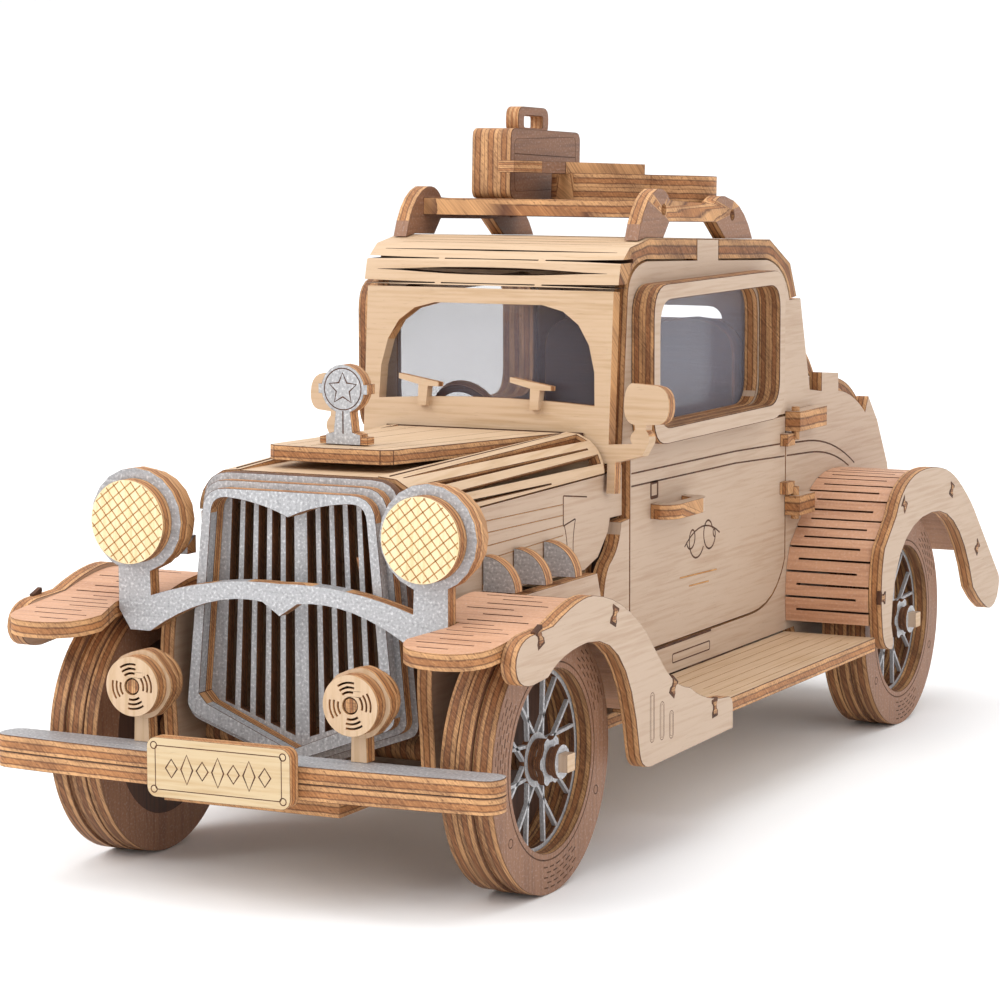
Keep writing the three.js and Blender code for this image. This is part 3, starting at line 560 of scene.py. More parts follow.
def circle(u: float, v: float, radius: float, steps: int = 48) -> list[Point]:
    """Draws a circle.

    Args:
        u: centre, first coordinate.
        v: centre, second coordinate.
        radius: its radius.
        steps: corners.

    Returns:
        The outline.
    """
    return arc(u, v, radius, 0.0, math.tau * (1 - 1 / steps), steps - 1)


def arc(u: float, v: float, radius: float, start: float, end: float, steps: int = 12) -> list[Point]:
    """Draws an arc.

    Args:
        u: centre, first coordinate.
        v: centre, second coordinate.
        radius: its radius.
        start: first angle in radians.
        end: last angle in radians.
        steps: spans.

    Returns:
        The points.
    """
    angles = [start + (end - start) * i / steps for i in range(steps + 1)]
    return [(u + radius * math.cos(a), v + radius * math.sin(a)) for a in angles]


def round_box(u0: float, v0: float, u1: float, v1: float, radius: float, steps: int = 6) -> list[Point]:
    """Draws a rectangle with round corners.

    Args:
        u0: lowest first coordinate.
        v0: lowest second coordinate.
        u1: highest first coordinate.
        v1: highest second coordinate.
        radius: the corner radius.
        steps: spans at each corner.

    Returns:
        The outline.
    """
    left, right = u0 + radius, u1 - radius
    bottom, top = v0 + radius, v1 - radius
    corners = [(right, top), (left, top), (left, bottom), (right, bottom)]
    outline: list[Point] = []
    for quarter, (u, v) in enumerate(corners):
        start = quarter * math.pi / 2
        outline += arc(u, v, radius, start, start + math.pi / 2, steps)
    return outline


def curve(start: Point, pull: Point, end: Point, steps: int = 10) -> list[Point]:
    """Draws a quadratic curve.

    Args:
        start: first point.
        pull: control point.
        end: last point.
        steps: spans.

    Returns:
        The points, both ends included.
    """
    points = []
    for i in range(steps + 1):
        t = i / steps
        weights = ((1 - t) ** 2, 2 * t * (1 - t), t * t)
        points.append(tuple(sum(w * p[k] for w, p in zip(weights, (start, pull, end))) for k in (0, 1)))
    return points


def lobed(u: float, v: float, radius: float, depth: float, lobes: int, steps: int = 72) -> list[Point]:
    """Draws a ring with rounded lobes.

    Args:
        u: centre, first coordinate.
        v: centre, second coordinate.
        radius: mean radius.
        depth: how far the lobes swell.
        lobes: how many.
        steps: corners.

    Returns:
        The outline.
    """
    outline = []
    for i in range(steps):
        a = math.tau * i / steps
        r = radius + depth * math.tanh(2.2 * math.cos(lobes * a))
        outline.append((u + r * math.cos(a), v + r * math.sin(a)))
    return outline


# ---- the bench: meshes under work ----------------------------------------------------


class Stock:
    """One visible piece while it is being cut, dressed and joined to its body."""

    EDGE_ANGLE = math.radians(32)
    SHIFT_STEP = 13.7
    SHIFT_SPAN = 97.0

    def __init__(self, name: str, body: str, grain: Axis = Axis.Y) -> None:
        """Starts an empty piece.

        Args:
            name: the piece's name.
            body: the body it rides on.
            grain: the way its face grain runs.
        """
        self.name = name
        self.body = body
        self.grain = grain
        self.bm = bmesh.new()
        self.uv = self.bm.loops.layers.uv.new("grain")
        self.finishes: list[Finish] = []
        self.shift = (len(name) * self.SHIFT_STEP) % self.SHIFT_SPAN

    def index(self, finish: Finish) -> int:
        """Gives the material index of a finish, adding it if it is new.

        Args:
            finish: the finish.

        Returns:
            Its place in the piece's list.
        """
        if finish not in self.finishes:
            self.finishes.append(finish)
        return self.finishes.index(finish)

    def _map_face(self, face: bmesh.types.BMFace) -> None:
        """Lays the grain over a face by its widest side.

        Args:
            face: the face.
        """
        normal = face.normal
        facing = max(range(3), key=lambda k: abs(normal[k]))
        along = self.grain.value
        if along == facing:
            along = (facing + 1) % 3
        across = 3 - along - facing
        for loop in face.loops:
            co = loop.vert.co
            loop[self.uv].uv = (co[along] / MM + self.shift, co[across] / MM + self.shift * 0.37)

    def _map_wall(
        self,
        face: bmesh.types.BMFace,
        level: Callable[[bmesh.types.BMVert], float],
    ) -> None:
        """Lays the sheet's layers over a cut wall.

        Args:
            face: the wall.
            level: gives how many sheets up a corner lies.
        """
        for loop in face.loops:
            co = loop.vert.co / MM
            run = co.x + 0.83 * co.y + 0.91 * co.z
            loop[self.uv].uv = (run + self.shift, level(loop.vert))

    def plate(
        self,
        axis: Axis,
        outline: Sequence[Point],
        low: float,
        high: float,
        face: Finish,
        edge: Finish = Finish.EDGE,
        holes: Sequence[Sequence[Point]] = (),
    ) -> None:
        """Cuts a flat plate.

        Args:
            axis: the way it faces.
            outline: its outer edge.
            low: its lower face.
            high: its upper face.
            face: the finish of the faces.
            edge: the finish of the cut edges.
            holes: openings through it.
        """
        rings = [list(outline), *(list(h) for h in holes)]
        flat = [p for ring in rings for p in ring]
        triangles = tessellate_polygon([[Vector((p[0], p[1], 0)) for p in ring] for ring in rings])
        levels = {}
        for key, w in (("low", low), ("high", high)):
            levels[key] = [self.bm.verts.new(axis.spot(p[0], p[1], w)) for p in flat]
        count = max(1, round((high - low) / PLY))
        made: list[bmesh.types.BMFace] = []
        for key in ("low", "high"):
            for corners in triangles:
                item = self.bm.faces.new([levels[key][i] for i in corners])
                item.material_index = self.index(face)
                made.append(item)
        start = 0
        for ring in rings:
            size = len(ring)
            for i in range(size):
                a, b = start + i, start + (i + 1) % size
                foot, head = levels["low"], levels["high"]
                wall = self.bm.faces.new([foot[a], foot[b], head[b], head[a]])
                wall.material_index = self.index(edge)
                made.append(wall)
            start += size
        bmesh.ops.recalc_face_normals(self.bm, faces=made)
        tops = set(levels["high"])
        edge_index = self.index(edge)
        for item in made:
            if item.material_index == edge_index and len(item.verts) == 4:
                self._map_wall(item, lambda vert: float(count) if vert in tops else 0.0)
            else:
                self._map_face(item)

    def shell(
        self,
        spot: Callable[[float, float, float], Vector],
        stations: Sequence[float],
        rows: Sequence[Callable[[float], float]],
        missing: Callable[[float, int], bool],
        thickness: float,
        face: Finish,
        edge: Finish,
    ) -> None:
        """Bends a sheet over a surface, leaving slits open.

        Args:
            spot: gives the place of a station, a row value and a depth.
            stations: where the sheet is divided along its length.
            rows: where it is divided across, each as a function of the station.
            missing: tells whether the cell at a station, after a row, is open.
            thickness: the sheet's thickness.
            face: the finish of the faces.
            edge: the finish of the cut edges.
        """
        layers = [
            [[self.bm.verts.new(spot(t, row(t), depth)) for row in rows] for t in stations]
            for depth in (0.0, thickness)
        ]
        tops = {vert for run in layers[0] for vert in run}
        last = len(stations) - 1

        def solid(i: int, k: int) -> bool:
            """Tells whether a cell is wood.

            Args:
                i: the cell's place along the sheet.
                k: its place across.

            Returns:
                True if it is neither open nor outside.
            """
            inside = 0 <= i < last and 0 <= k < len(rows) - 1
            return inside and not missing((stations[i] + stations[i + 1]) / 2, k)

        made: list[bmesh.types.BMFace] = []
        walls: list[bmesh.types.BMFace] = []
        for i in range(last):
            for k in range(len(rows) - 1):
                if not solid(i, k):
                    continue
                corners = [(i, k), (i + 1, k), (i + 1, k + 1), (i, k + 1)]
                for layer in layers:
                    made.append(self.bm.faces.new([layer[a][b] for a, b in corners]))
                beyond = [(i, k - 1), (i + 1, k), (i, k + 1), (i - 1, k)]
                for n, cell in enumerate(beyond):
                    if not solid(*cell):
                        (a, c), (b, d) = corners[n], corners[(n + 1) % 4]
                        over, under = layers
                        ring = [over[a][c], over[b][d], under[b][d], under[a][c]]
                        walls.append(self.bm.faces.new(ring))
        bmesh.ops.recalc_face_normals(self.bm, faces=made + walls)
        for item in made:
            item.material_index = self.index(face)
            self._map_face(item)
        for item in walls:
            item.material_index = self.index(edge)
            self._map_wall(item, lambda vert: 1.0 if vert in tops else 0.0)
        loose = [vert for layer in layers for run in layer for vert in run if not vert.link_faces]
        bmesh.ops.delete(self.bm, geom=loose, context="VERTS")

    def tilt(self, since: int, slope: float, start: float, axis: Axis) -> None:
        """Shears the newest corners so that a drawing follows a leaning face.

        Args:
            since: how many corners the stock had before the drawing.
            slope: rise per millimetre of Y.
            start: Y where nothing moves.
            axis: the way the corners move.
        """
        self.bm.verts.ensure_lookup_table()
        for vert in self.bm.verts[since:]:
            vert.co[axis.value] += slope * (vert.co.y - (start + AXLE_Y) * MM)

    def line(
        self,
        axis: Axis,
        points: Sequence[Point],
        level: float,
        out: int,
        width: float = 0.3,
        closed: bool = False,
        finish: Finish = Finish.BURNT,
    ) -> None:
        """Engraves a line on a flat face.

        Args:
            axis: the way the face points.
            points: the line in the face.
            level: where the face is.
            out: 1 or -1, the side that air is on.
            width: the line's width.
            closed: True for a loop.
            finish: the burnt finish.
        """
        size = len(points)
        left: list[Point] = []
        right: list[Point] = []
        for i, (u, v) in enumerate(points):
            before = points[i - 1] if closed or i > 0 else points[i]
            after = points[(i + 1) % size] if closed or i < size - 1 else points[i]
            run = Vector((after[0] - before[0], after[1] - before[1]))
            run = run.normalized() if run.length > 1e-9 else Vector((1, 0))
            side = (-run.y * width / 2, run.x * width / 2)
            left.append((u + side[0], v + side[1]))
            right.append((u - side[0], v - side[1]))
        lift = level + LINE_LIFT * out
        sink = level - LINE_DEPTH * out
        sides = ((left, lift), (right, lift), (right, sink), (left, sink))
        rows = [[self.bm.verts.new(axis.spot(p[0], p[1], w)) for p in run] for run, w in sides]
        made = []
        for i in range(size if closed else size - 1):
            j = (i + 1) % size
            for k in range(4):
                near, far = rows[k], rows[(k + 1) % 4]
                made.append(self.bm.faces.new([near[i], near[j], far[j], far[i]]))
        if not closed:
            made.append(self.bm.faces.new([row[0] for row in rows]))
            made.append(self.bm.faces.new([row[-1] for row in rows]))
        bmesh.ops.recalc_face_normals(self.bm, faces=made)
        for item in made:
            item.material_index = self.index(finish)
            self._map_face(item)

    def carry(
        self,
        node: str,
        face: Finish,
        edge: Finish = Finish.EDGE,
        thickness: Sequence[float] = (PLY,),
        sheets: int = 1,
        slack: float = 0.22,
        along: Axis | None = None,
    ) -> None:
        """Takes a sheet's shape over from the frame and tells its faces from its cut edges.

        A face is a face where a straight line through the sheet is as long as the sheet is thick.

        Args:
            node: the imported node.
            face: the finish of the faces.
            edge: the finish of the cut edges.
            thickness: the sheet thicknesses in the node.
            sheets: layers between the two faces.
            slack: how far the thickness may be off.
            along: the way the sheet faces, when its faces can be told by that alone.
        """
        taken = bmesh.new()
        taken.from_mesh(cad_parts[node].data)
        bmesh.ops.remove_doubles(taken, verts=taken.verts, dist=SAME_PLACE)
        bmesh.ops.dissolve_limit(taken, angle_limit=SAME_PLANE, verts=taken.verts, edges=taken.edges)
        bmesh.ops.triangulate(taken, faces=[f for f in taken.faces if len(f.verts) > 4])
        bmesh.ops.recalc_face_normals(taken, faces=taken.faces)
        tree = BVHTree.FromBMesh(taken)
        roles: dict[int, int] = {}
        taken.faces.ensure_lookup_table()
        for item in taken.faces:
            centre = item.calc_center_median()
            hit = tree.ray_cast(centre - item.normal * PROBE_START, -item.normal)
            span = hit[3] / MM if hit[0] is not None else NO_HIT
            sheet = any(abs(span - t) < slack for t in thickness)
            if along is not None:
                sheet = sheet or abs(item.normal[along.value]) > 0.9
            facing = item.normal.x + 0.9 * item.normal.y + 1.1 * item.normal.z
            roles[item.index] = 0 if not sheet else (1 if facing > 0 else -1)
        copies = {v: self.bm.verts.new(v.co) for v in taken.verts}
        upper = {v for f in taken.faces if roles[f.index] == 1 for v in f.verts}
        for item in taken.faces:
            made = self.bm.faces.new([copies[v] for v in item.verts])
            made.normal_update()
            role = roles[item.index]
            made.material_index = self.index(edge if role == 0 else face)
            if role == 0:
                tops = {copies[v] for v in item.verts if v in upper}
                self._map_wall(made, lambda vert, tops=tops: float(sheets) if vert in tops else 0.0)
            else:
                self._map_face(made)
        taken.free()

    def place(
        self,
        *replaced: str,
        slot: str | None = None,
        ease: float = 0.09,
        rim: Finish | None = Finish.BURNT,
        kerfs: Stock | None = None,
    ) -> None:
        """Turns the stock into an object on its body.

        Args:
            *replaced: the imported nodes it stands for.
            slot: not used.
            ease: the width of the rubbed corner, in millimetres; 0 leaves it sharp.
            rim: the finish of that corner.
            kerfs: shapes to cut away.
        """
        rim_index = self.index(rim) if rim else -1
        mesh = self.mesh()
        item = bpy.data.objects.new(self.name, mesh)
        bpy.context.scene.collection.objects.link(item)
        if kerfs is not None:
            self._cut(item, kerfs)
        item.data.polygons.foreach_set("use_smooth", [True] * len(item.data.polygons))
        item.data.set_sharp_from_angle(angle=self.EDGE_ANGLE)
        if ease > 0:
            corner = item.modifiers.new("rubbed corner", "BEVEL")
            corner.width = ease * MM
            corner.segments = 1
            corner.limit_method = "ANGLE"
            corner.angle_limit = CORNER_ANGLE
            corner.material = rim_index
            corner.use_clamp_overlap = True
        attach(item, self.body)
        if replaced:
            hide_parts(*replaced)
        LOG.info("%s on %s, %d faces", self.name, self.body, len(item.data.polygons))

    def mesh(self) -> bpy.types.Mesh:
        """Writes the faces to a mesh with its materials.

        Returns:
            The mesh.
        """
        mesh = bpy.data.meshes.new(self.name)
        self.bm.to_mesh(mesh)
        self.bm.free()
        for finish in self.finishes:
            mesh.materials.append(finish.material())
        return mesh

    def _cut(self, item: bpy.types.Object, kerfs: Stock) -> None:
        """Cuts the kerfs out of an object, leaving burnt walls.

        Args:
            item: the object.
            kerfs: the blades.
        """
        kerfs.finishes = list(self.finishes)
        wall = self.finishes.index(Finish.BURNT)
        for face in kerfs.bm.faces:
            face.material_index = wall
        tool = bpy.data.objects.new(self.name + "_kerfs", kerfs.mesh())
        bpy.context.scene.collection.objects.link(tool)
        saw = item.modifiers.new("saw", "BOOLEAN")
        saw.operation = "DIFFERENCE"
        saw.solver = "EXACT"
        saw.object = tool
        bpy.context.view_layer.update()
        settled = item.evaluated_get(bpy.context.evaluated_depsgraph_get())
        made = bpy.data.meshes.new_from_object(settled)
        item.modifiers.clear()
        item.data = made
        bpy.data.objects.remove(tool)


def kerf(
    stock: Stock,
    start: Point,
    end: Point,
    width: float,
    top: float,
    deep: float,
    lean: float = 0.0,
) -> None:
    """Adds one vertical saw blade to a set of kerfs.

    Args:
        stock: the set of kerfs.
        start: first end, X and Y.
        end: last end, X and Y.
        width: the slit's width in its middle.
        top: Z of the blade's top.
        deep: the blade's height.
        lean: how much wider the slit is in its middle than at its ends.
    """
    run = Vector((end[0] - start[0], end[1] - start[1]))
    side = Vector((-run.y, run.x)).normalized()
    places = [(0.0, width - lean), (1.0, width - lean)]
    if lean:
        places.insert(1, (0.5, width))
    left = [Vector(start) + run * t + side * w / 2 for t, w in places]
    right = [Vector(start) + run * t - side * w / 2 for t, w in places]
    outline = [(p.x, p.y) for p in left + right[::-1]]
    stock.plate(Axis.Z, outline, top - deep, top, Finish.BURNT, Finish.BURNT)


def dress(
    node: str,
    name: str,
    face: Finish,
    edge: Finish = Finish.EDGE,
    thickness: Sequence[float] = (PLY,),
    slot: str = "bare_wood",
    body: str = "body",
    grain: Axis = Axis.X,
    ease: float = 0.1,
    rim: Finish | None = Finish.BURNT,
    sheets: int = 1,
    slack: float = 0.22,
) -> None:
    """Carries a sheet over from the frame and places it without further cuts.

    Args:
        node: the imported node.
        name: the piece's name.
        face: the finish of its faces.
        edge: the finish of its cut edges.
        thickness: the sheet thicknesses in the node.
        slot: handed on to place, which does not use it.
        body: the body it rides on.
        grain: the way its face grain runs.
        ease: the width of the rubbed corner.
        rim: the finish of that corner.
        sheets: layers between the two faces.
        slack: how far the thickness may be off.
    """
    stock = Stock(name, body, grain)
    stock.carry(node, face, edge, thickness, sheets=sheets, slack=slack)
    stock.place(node, slot=slot, ease=ease, rim=rim)


def glaze(node: str, name: str, sheet: Finish, body: str, grain: Axis) -> None:
    """Sets one clear pane.

    Args:
        node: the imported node.
        name: the piece's name.
        sheet: the clear finish.
        body: the body it rides on.
        grain: the way its handling marks run.
    """
    dress(node, name, sheet, sheet, (PANE,), "clear_pane", body, grain, ease=0.0, rim=None, slack=0.1)


# ---- wheels --------------------------------------------------------------------------


@dataclass
class Wheels:
    """One axle with its two wheels: stacked tyre rings, crossed wire spokes and a hub."""

    end: str
    axle_at: float
    radius: float = 16.0
    rim: float = 11.1
    face_x: float = 30.3
    ring: float = PLY
    spoke_sheet: float = 0.8
    pairs: int = 8
    square: float = 2.2
    steps: int = 96

    def build(self) -> None:
        """Builds the tyres, spokes and axle."""
        for side in SIDES:
            self.tyre(side)
            self.spokes(side)
        self.axle()

    def span(self, side: str, outer: float, inner: float) -> tuple[float, float]:
        """Gives where a layer lies on one side of the car.

        Args:
            side: right or left.
            outer: its distance from the car's middle, outside.
            inner: its distance from the car's middle, inside.

        Returns:
            Its lower and upper X.
        """
        a, b = SIDES[side] * outer, SIDES[side] * inner
        return min(a, b), max(a, b)

    def tyre(self, side: str) -> None:
        """Stacks the tyre rings and engraves the outer one.

        Args:
            side: right or left.
        """
        name = f"{self.end}_tyre_{side}"
        stock = Stock(name + "_rings", f"{self.end}_wheels", Axis.Z)
        centre = (self.axle_at, self.radius)
        x = self.face_x
        layers = [(0.0, self.ring, 0.0), (self.ring + 0.05, self.ring + 0.75, 0.35)]
        layers += [(2.85, 4.75, 0.0), (4.85, 6.8, 0.12)]
        for outer, inner, less in layers:
            low, high = self.span(side, x - outer, x - inner)
            bore = self.rim + (0.7 if less > 0.3 else 0.0)
            stock.plate(Axis.X, circle(*centre, self.radius - less, self.steps), low, high, Finish.TAUPE,
                        Finish.TREAD, [circle(*centre, bore, self.steps)])
        low, high = self.span(side, x - 5.8, x - 6.78)
        stock.plate(Axis.X, circle(*centre, self.rim + 0.1, 60), low, high, Finish.COCOA, Finish.TREAD,
                    [circle(*centre, 1.56, 24)])
        self.engrave_tyre(stock, centre, SIDES[side] * x, SIDES[side])
        stock.place(name, slot="painted_copper", ease=0.12)

    def engrave_tyre(self, stock: Stock, centre: Point, level: float, out: int) -> None:
        """Burns the bead line, three tread patches and three rivets.

        Args:
            stock: the tyre.
            centre: the axle in the sheet.
            level: X of the outer face.
            out: 1 or -1.
        """
        stock.line(Axis.X, circle(*centre, self.rim + 0.75, 72), level, out, 0.22, True)
        for third in range(3):
            middle = math.radians(35 + 120 * third)
            for row in range(5):
                r = self.rim + 1.6 + row * 0.62
                for dash in range(-2, 3):
                    a = middle + (dash + 0.5 * (row % 2)) * 1.75 / r
                    stock.line(Axis.X, arc(*centre, r, a, a + 1.15 / r, 2), level, out, 0.2)
            a = middle + math.radians(60)
            spot = (centre[0] + 13.6 * math.cos(a), centre[1] + 13.6 * math.sin(a))
            stock.line(Axis.X, circle(*spot, 0.55, 12), level, out, 0.18, True)

    def spokes(self, side: str) -> None:
        """Cuts the crossed spokes and stacks the hub on them.

        Args:
            side: right or left.
        """
        name = f"{self.end}_spokes_{side}"
        stock = Stock(name + "_wires", f"{self.end}_wheels", Axis.Z)
        centre = (self.axle_at, self.radius)
        outer = self.face_x - self.ring - 0.1
        low, high = self.span(side, outer, outer - 0.6)
        inside = self.rim + 0.5
        stock.plate(Axis.X, circle(*centre, inside, 72), low, high, Finish.SILVER, Finish.DEEP_EDGE,
                    [circle(*centre, self.rim - 0.45, 72)])
        low, high = self.span(side, outer - 0.02, outer - 0.55)
        for i in range(self.pairs):
            middle = math.tau * (i + 0.5) / self.pairs
            for lean in (-1, 1):
                a, b = middle - lean * 0.34, middle + lean * 0.17
                foot = Vector((math.cos(a), math.sin(a))) * 2.9
                head = Vector((math.cos(b), math.sin(b))) * (self.rim - 0.2)
                across = (head - foot).normalized().orthogonal() * 0.2
                corners = [foot + across, head + across, head - across, foot - across]
                stock.plate(Axis.X, [(centre[0] + c.x, centre[1] + c.y) for c in corners], low, high,
                            Finish.SILVER, Finish.SILVER)
        half = self.square / 2 + 0.04
        corners = ((1, 1), (-1, 1), (-1, -1), (1, -1))
        bore = [(centre[0] + sy * half, centre[1] + sz * half) for sy, sz in corners]
        layers = [
            (outer + 0.05, outer - 0.7, lobed(*centre, 3.3, 0.0, 6)),
            (outer + 1.1, outer + 0.1, circle(*centre, 2.55, 40)),
            (outer + 2.0, outer + 1.15, lobed(*centre, 2.8, 0.28, 6)),
            (self.face_x + 0.55, outer + 2.05, circle(*centre, 1.75, 36)),
            (self.face_x + 1.35, self.face_x + 0.6, circle(*centre, 2.05, 36)),
        ]
        for far, near, outline in layers:
            low, high = self.span(side, far, near)
            stock.plate(Axis.X, outline, low, high, Finish.SILVER, Finish.DEEP_EDGE, [bore])
        stock.place(name, slot="painted_silver", ease=0.05, rim=None)

    def axle(self) -> None:
        """Shapes the axle: a round middle and squared, pale ends."""
        name = f"{self.end}_axle"
        stock = Stock(name + "_rod", f"{self.end}_wheels", Axis.X)
        low, high = node_span(name, 0)
        half = self.square / 2
        y, z = self.axle_at, self.radius
        ends = round_box(y - half, z - half, y + half, z + half, 0.18, 3)
        stock.plate(Axis.X, ends, low, high, Finish.BIRCH, Finish.BODY)
        middle = self.face_x - self.ring - self.spoke_sheet - 1.25
        rod = circle(y, z, 1.5, 24)
        stock.plate(Axis.X, rod, -middle, middle, Finish.BODY, Finish.TREAD)
        stock.place(name, slot="bare_wood", ease=0.06)


# ---- nose ----------------------------------------------------------------------------


@dataclass
class Nose:
    """Radiator, grille, lamps, bumper and number plate."""

    lamp_x: float = 20.0
    lamp_z: float = 43.46
    lens: float = 5.13
    fog_x: float = 14.8
    fog_z: float = 24.9
    thin: float = 1.5

    def build(self) -> None:
        """Builds the nose from the grille forward."""
        for node, name, edge, ease in (
            ("radiator_front", "radiator_front_ply", Finish.EDGE, 0.14),
            ("radiator_middle", "radiator_middle_ply", Finish.EDGE, 0.14),
            ("grille_plate", "grille_bars", Finish.DEEP_EDGE, 0.06),
        ):
            dress(node, name, Finish.SILVER, edge, (self.thin,), "painted_silver", grain=Axis.Z, ease=ease)
        self.lamps()
        self.bumper()
        self.number_plate()

    def lamps(self) -> None:
        """Builds the lamp bar, the lenses and the fog lamps."""
        stacks = (PLY, 2 * PLY, 3 * PLY)
        dress("headlamp_bar", "lamp_bar_ply", Finish.SILVER, Finish.EDGE, stacks, "painted_silver", ease=0.12)
        for side, out in SIDES.items():
            self.head_lens(side, out)
            self.fog_lamp(side, out)

    def head_lens(self, side: str, out: int) -> None:
        """Turns one headlamp lens, hatched like pressed glass.

        Args:
            side: right or left.
            out: 1 or -1.
        """
        node = f"headlamp_lens_{side}"
        low, high = node_span(node, 1)
        front, back = low - AXLE_Y, high - AXLE_Y
        centre = (out * self.lamp_x, self.lamp_z)
        stock = Stock(node + "_disc", "body", Axis.Z)
        stock.plate(Axis.Y, circle(*centre, self.lens, 72), front, back, Finish.LENS, Finish.EDGE)
        reach = self.lens - 0.15
        for slope in (math.radians(38), math.radians(-52)):
            along = Vector((math.cos(slope), math.sin(slope)))
            across = Vector((-along.y, along.x))
            for i in range(-4, 5):
                off = i * 1.08 + 0.2
                half = math.sqrt(max(reach * reach - off * off, 0.0))
                if half < 0.8:
                    continue
                mid = Vector(centre) + across * off
                ends = [tuple(mid - along * half), tuple(mid + along * half)]
                stock.line(Axis.Y, ends, front, -1, 0.15, finish=Finish.HATCH)
        stock.place(node, slot="bare_wood", ease=0.14)

    def fog_lamp(self, side: str, out: int) -> None:
        """Stacks one fog lamp on its stem.

        Args:
            side: right or left.
            out: 1 or -1.
        """
        node = f"fog_lamp_{side}"
        low, _ = node_span(node, 1)
        front = low - AXLE_Y
        centre = (out * self.fog_x, self.fog_z)
        stock = Stock(node + "_discs", "body", Axis.Z)
        slots = []
        for ring, width in ((1.6, 0.26), (2.15, 0.24), (2.7, 0.24)):
            for quarter in range(4):
                mid = math.radians(12 + 90 * quarter)
                reach = math.radians(27 if ring < 2.5 else 24)
                outer = arc(*centre, ring + width / 2, mid - reach, mid + reach, 8)
                inner = arc(*centre, ring - width / 2, mid + reach, mid - reach, 8)
                slots.append(outer + inner)
        slots.append(circle(*centre, 1.05, 20))
        second, third, back = (front + n * PLY for n in (1, 2, 3))
        plug = circle(*centre, 0.86, 20)
        stock.plate(Axis.Y, circle(*centre, 3.6, 60), front, second, Finish.BIRCH, Finish.EDGE, slots)
        stock.plate(Axis.Y, plug, front + 0.15, second, Finish.TREAD, Finish.DEEP_EDGE)
        stock.plate(Axis.Y, lobed(*centre, 4.1, 0.1, 5, 60), second, third, Finish.BIRCH, Finish.EDGE)
        stock.plate(Axis.Y, circle(*centre, 3.4, 60), third, back, Finish.BIRCH, Finish.EDGE)
        x, foot, head = centre[0], node_span(node, 2)[0], self.fog_z - 2
        stem = [(x - 1.05, foot), (x + 1.05, foot), (x + 0.9, head), (x - 0.9, head)]
        stock.plate(Axis.Y, stem, second + 0.02, third - 0.02, Finish.BIRCH, Finish.EDGE)
        stock.place(node, slot="bare_wood", ease=0.07)

    def bumper(self) -> None:
        """Carries the two bumper sheets over."""
        dress("bumper_upper", "bumper_top_sheet", Finish.SILVER, slot="painted_silver", ease=0.12)
        dress("bumper_lower", "bumper_low_sheet", Finish.BODY, slot="cut_edge_wood", ease=0.12)

    def number_plate(self) -> None:
        """Cuts the number plate: border, rivets and a plain row of diamonds."""
        node = "number_plate"
        (x0, x1), (z0, z1) = node_span(node, 0), node_span(node, 2)
        low, high = node_span(node, 1)
        front = low - AXLE_Y
        stock = Stock("number_plate_ply", "body", Axis.X)
        stock.plate(Axis.Y, round_box(x0, z0, x1, z1, 1.2), front, high - AXLE_Y, Finish.LABEL, Finish.EDGE)
        border = round_box(x0 + 1.15, z0 + 0.95, x1 - 1.15, z1 - 0.95, 0.3, 2)
        stock.line(Axis.Y, border, front, -1, 0.16, True)
        for x in (x0 + 0.95, x1 - 0.95):
            for z in (z0 + 0.95, z1 - 0.95):
                stock.line(Axis.Y, circle(x, z, 0.42, 14), front, -1, 0.18, True)
        middle = (z0 + z1) / 2
        for i in range(-3, 4):
            x = i * 2.1
            tall = 1.75 if i % 2 == 0 else 1.1
            diamond = [(x + 0.8, middle), (x, middle + tall), (x - 0.8, middle), (x, middle - tall)]
            stock.line(Axis.Y, diamond, front, -1, 0.26, True)
        stock.place(node, slot="bare_wood", ease=0.1)


# ---- hood ----------------------------------------------------------------------------


@dataclass(frozen=True)
class Slit:
    """A long opening in a bent skin whose two sides draw apart."""

    start: float
    end: float
    upper: tuple[float, float]
    lower: tuple[float, float]

    def _at(self, ends: tuple[float, float], t: float) -> float:
        """Gives where a side of the slit runs at a station.

        Args:
            ends: where the side starts and ends.
            t: the station, 0 to 1 along the hood.

        Returns:
            Its place across the sheet.
        """
        share = min(max((t - self.start) / (self.end - self.start), 0.0), 1.0)
        return ends[0] + (ends[1] - ends[0]) * share

    def upper_at(self, t: float) -> float:
        """Gives the upper side at a station.

        Args:
            t: the station.

        Returns:
            Its place across the sheet.
        """
        return self._at(self.upper, t)

    def lower_at(self, t: float) -> float:
        """Gives the lower side at a station.

        Args:
            t: the station.

        Returns:
            Its place across the sheet.
        """
        return self._at(self.lower, t)


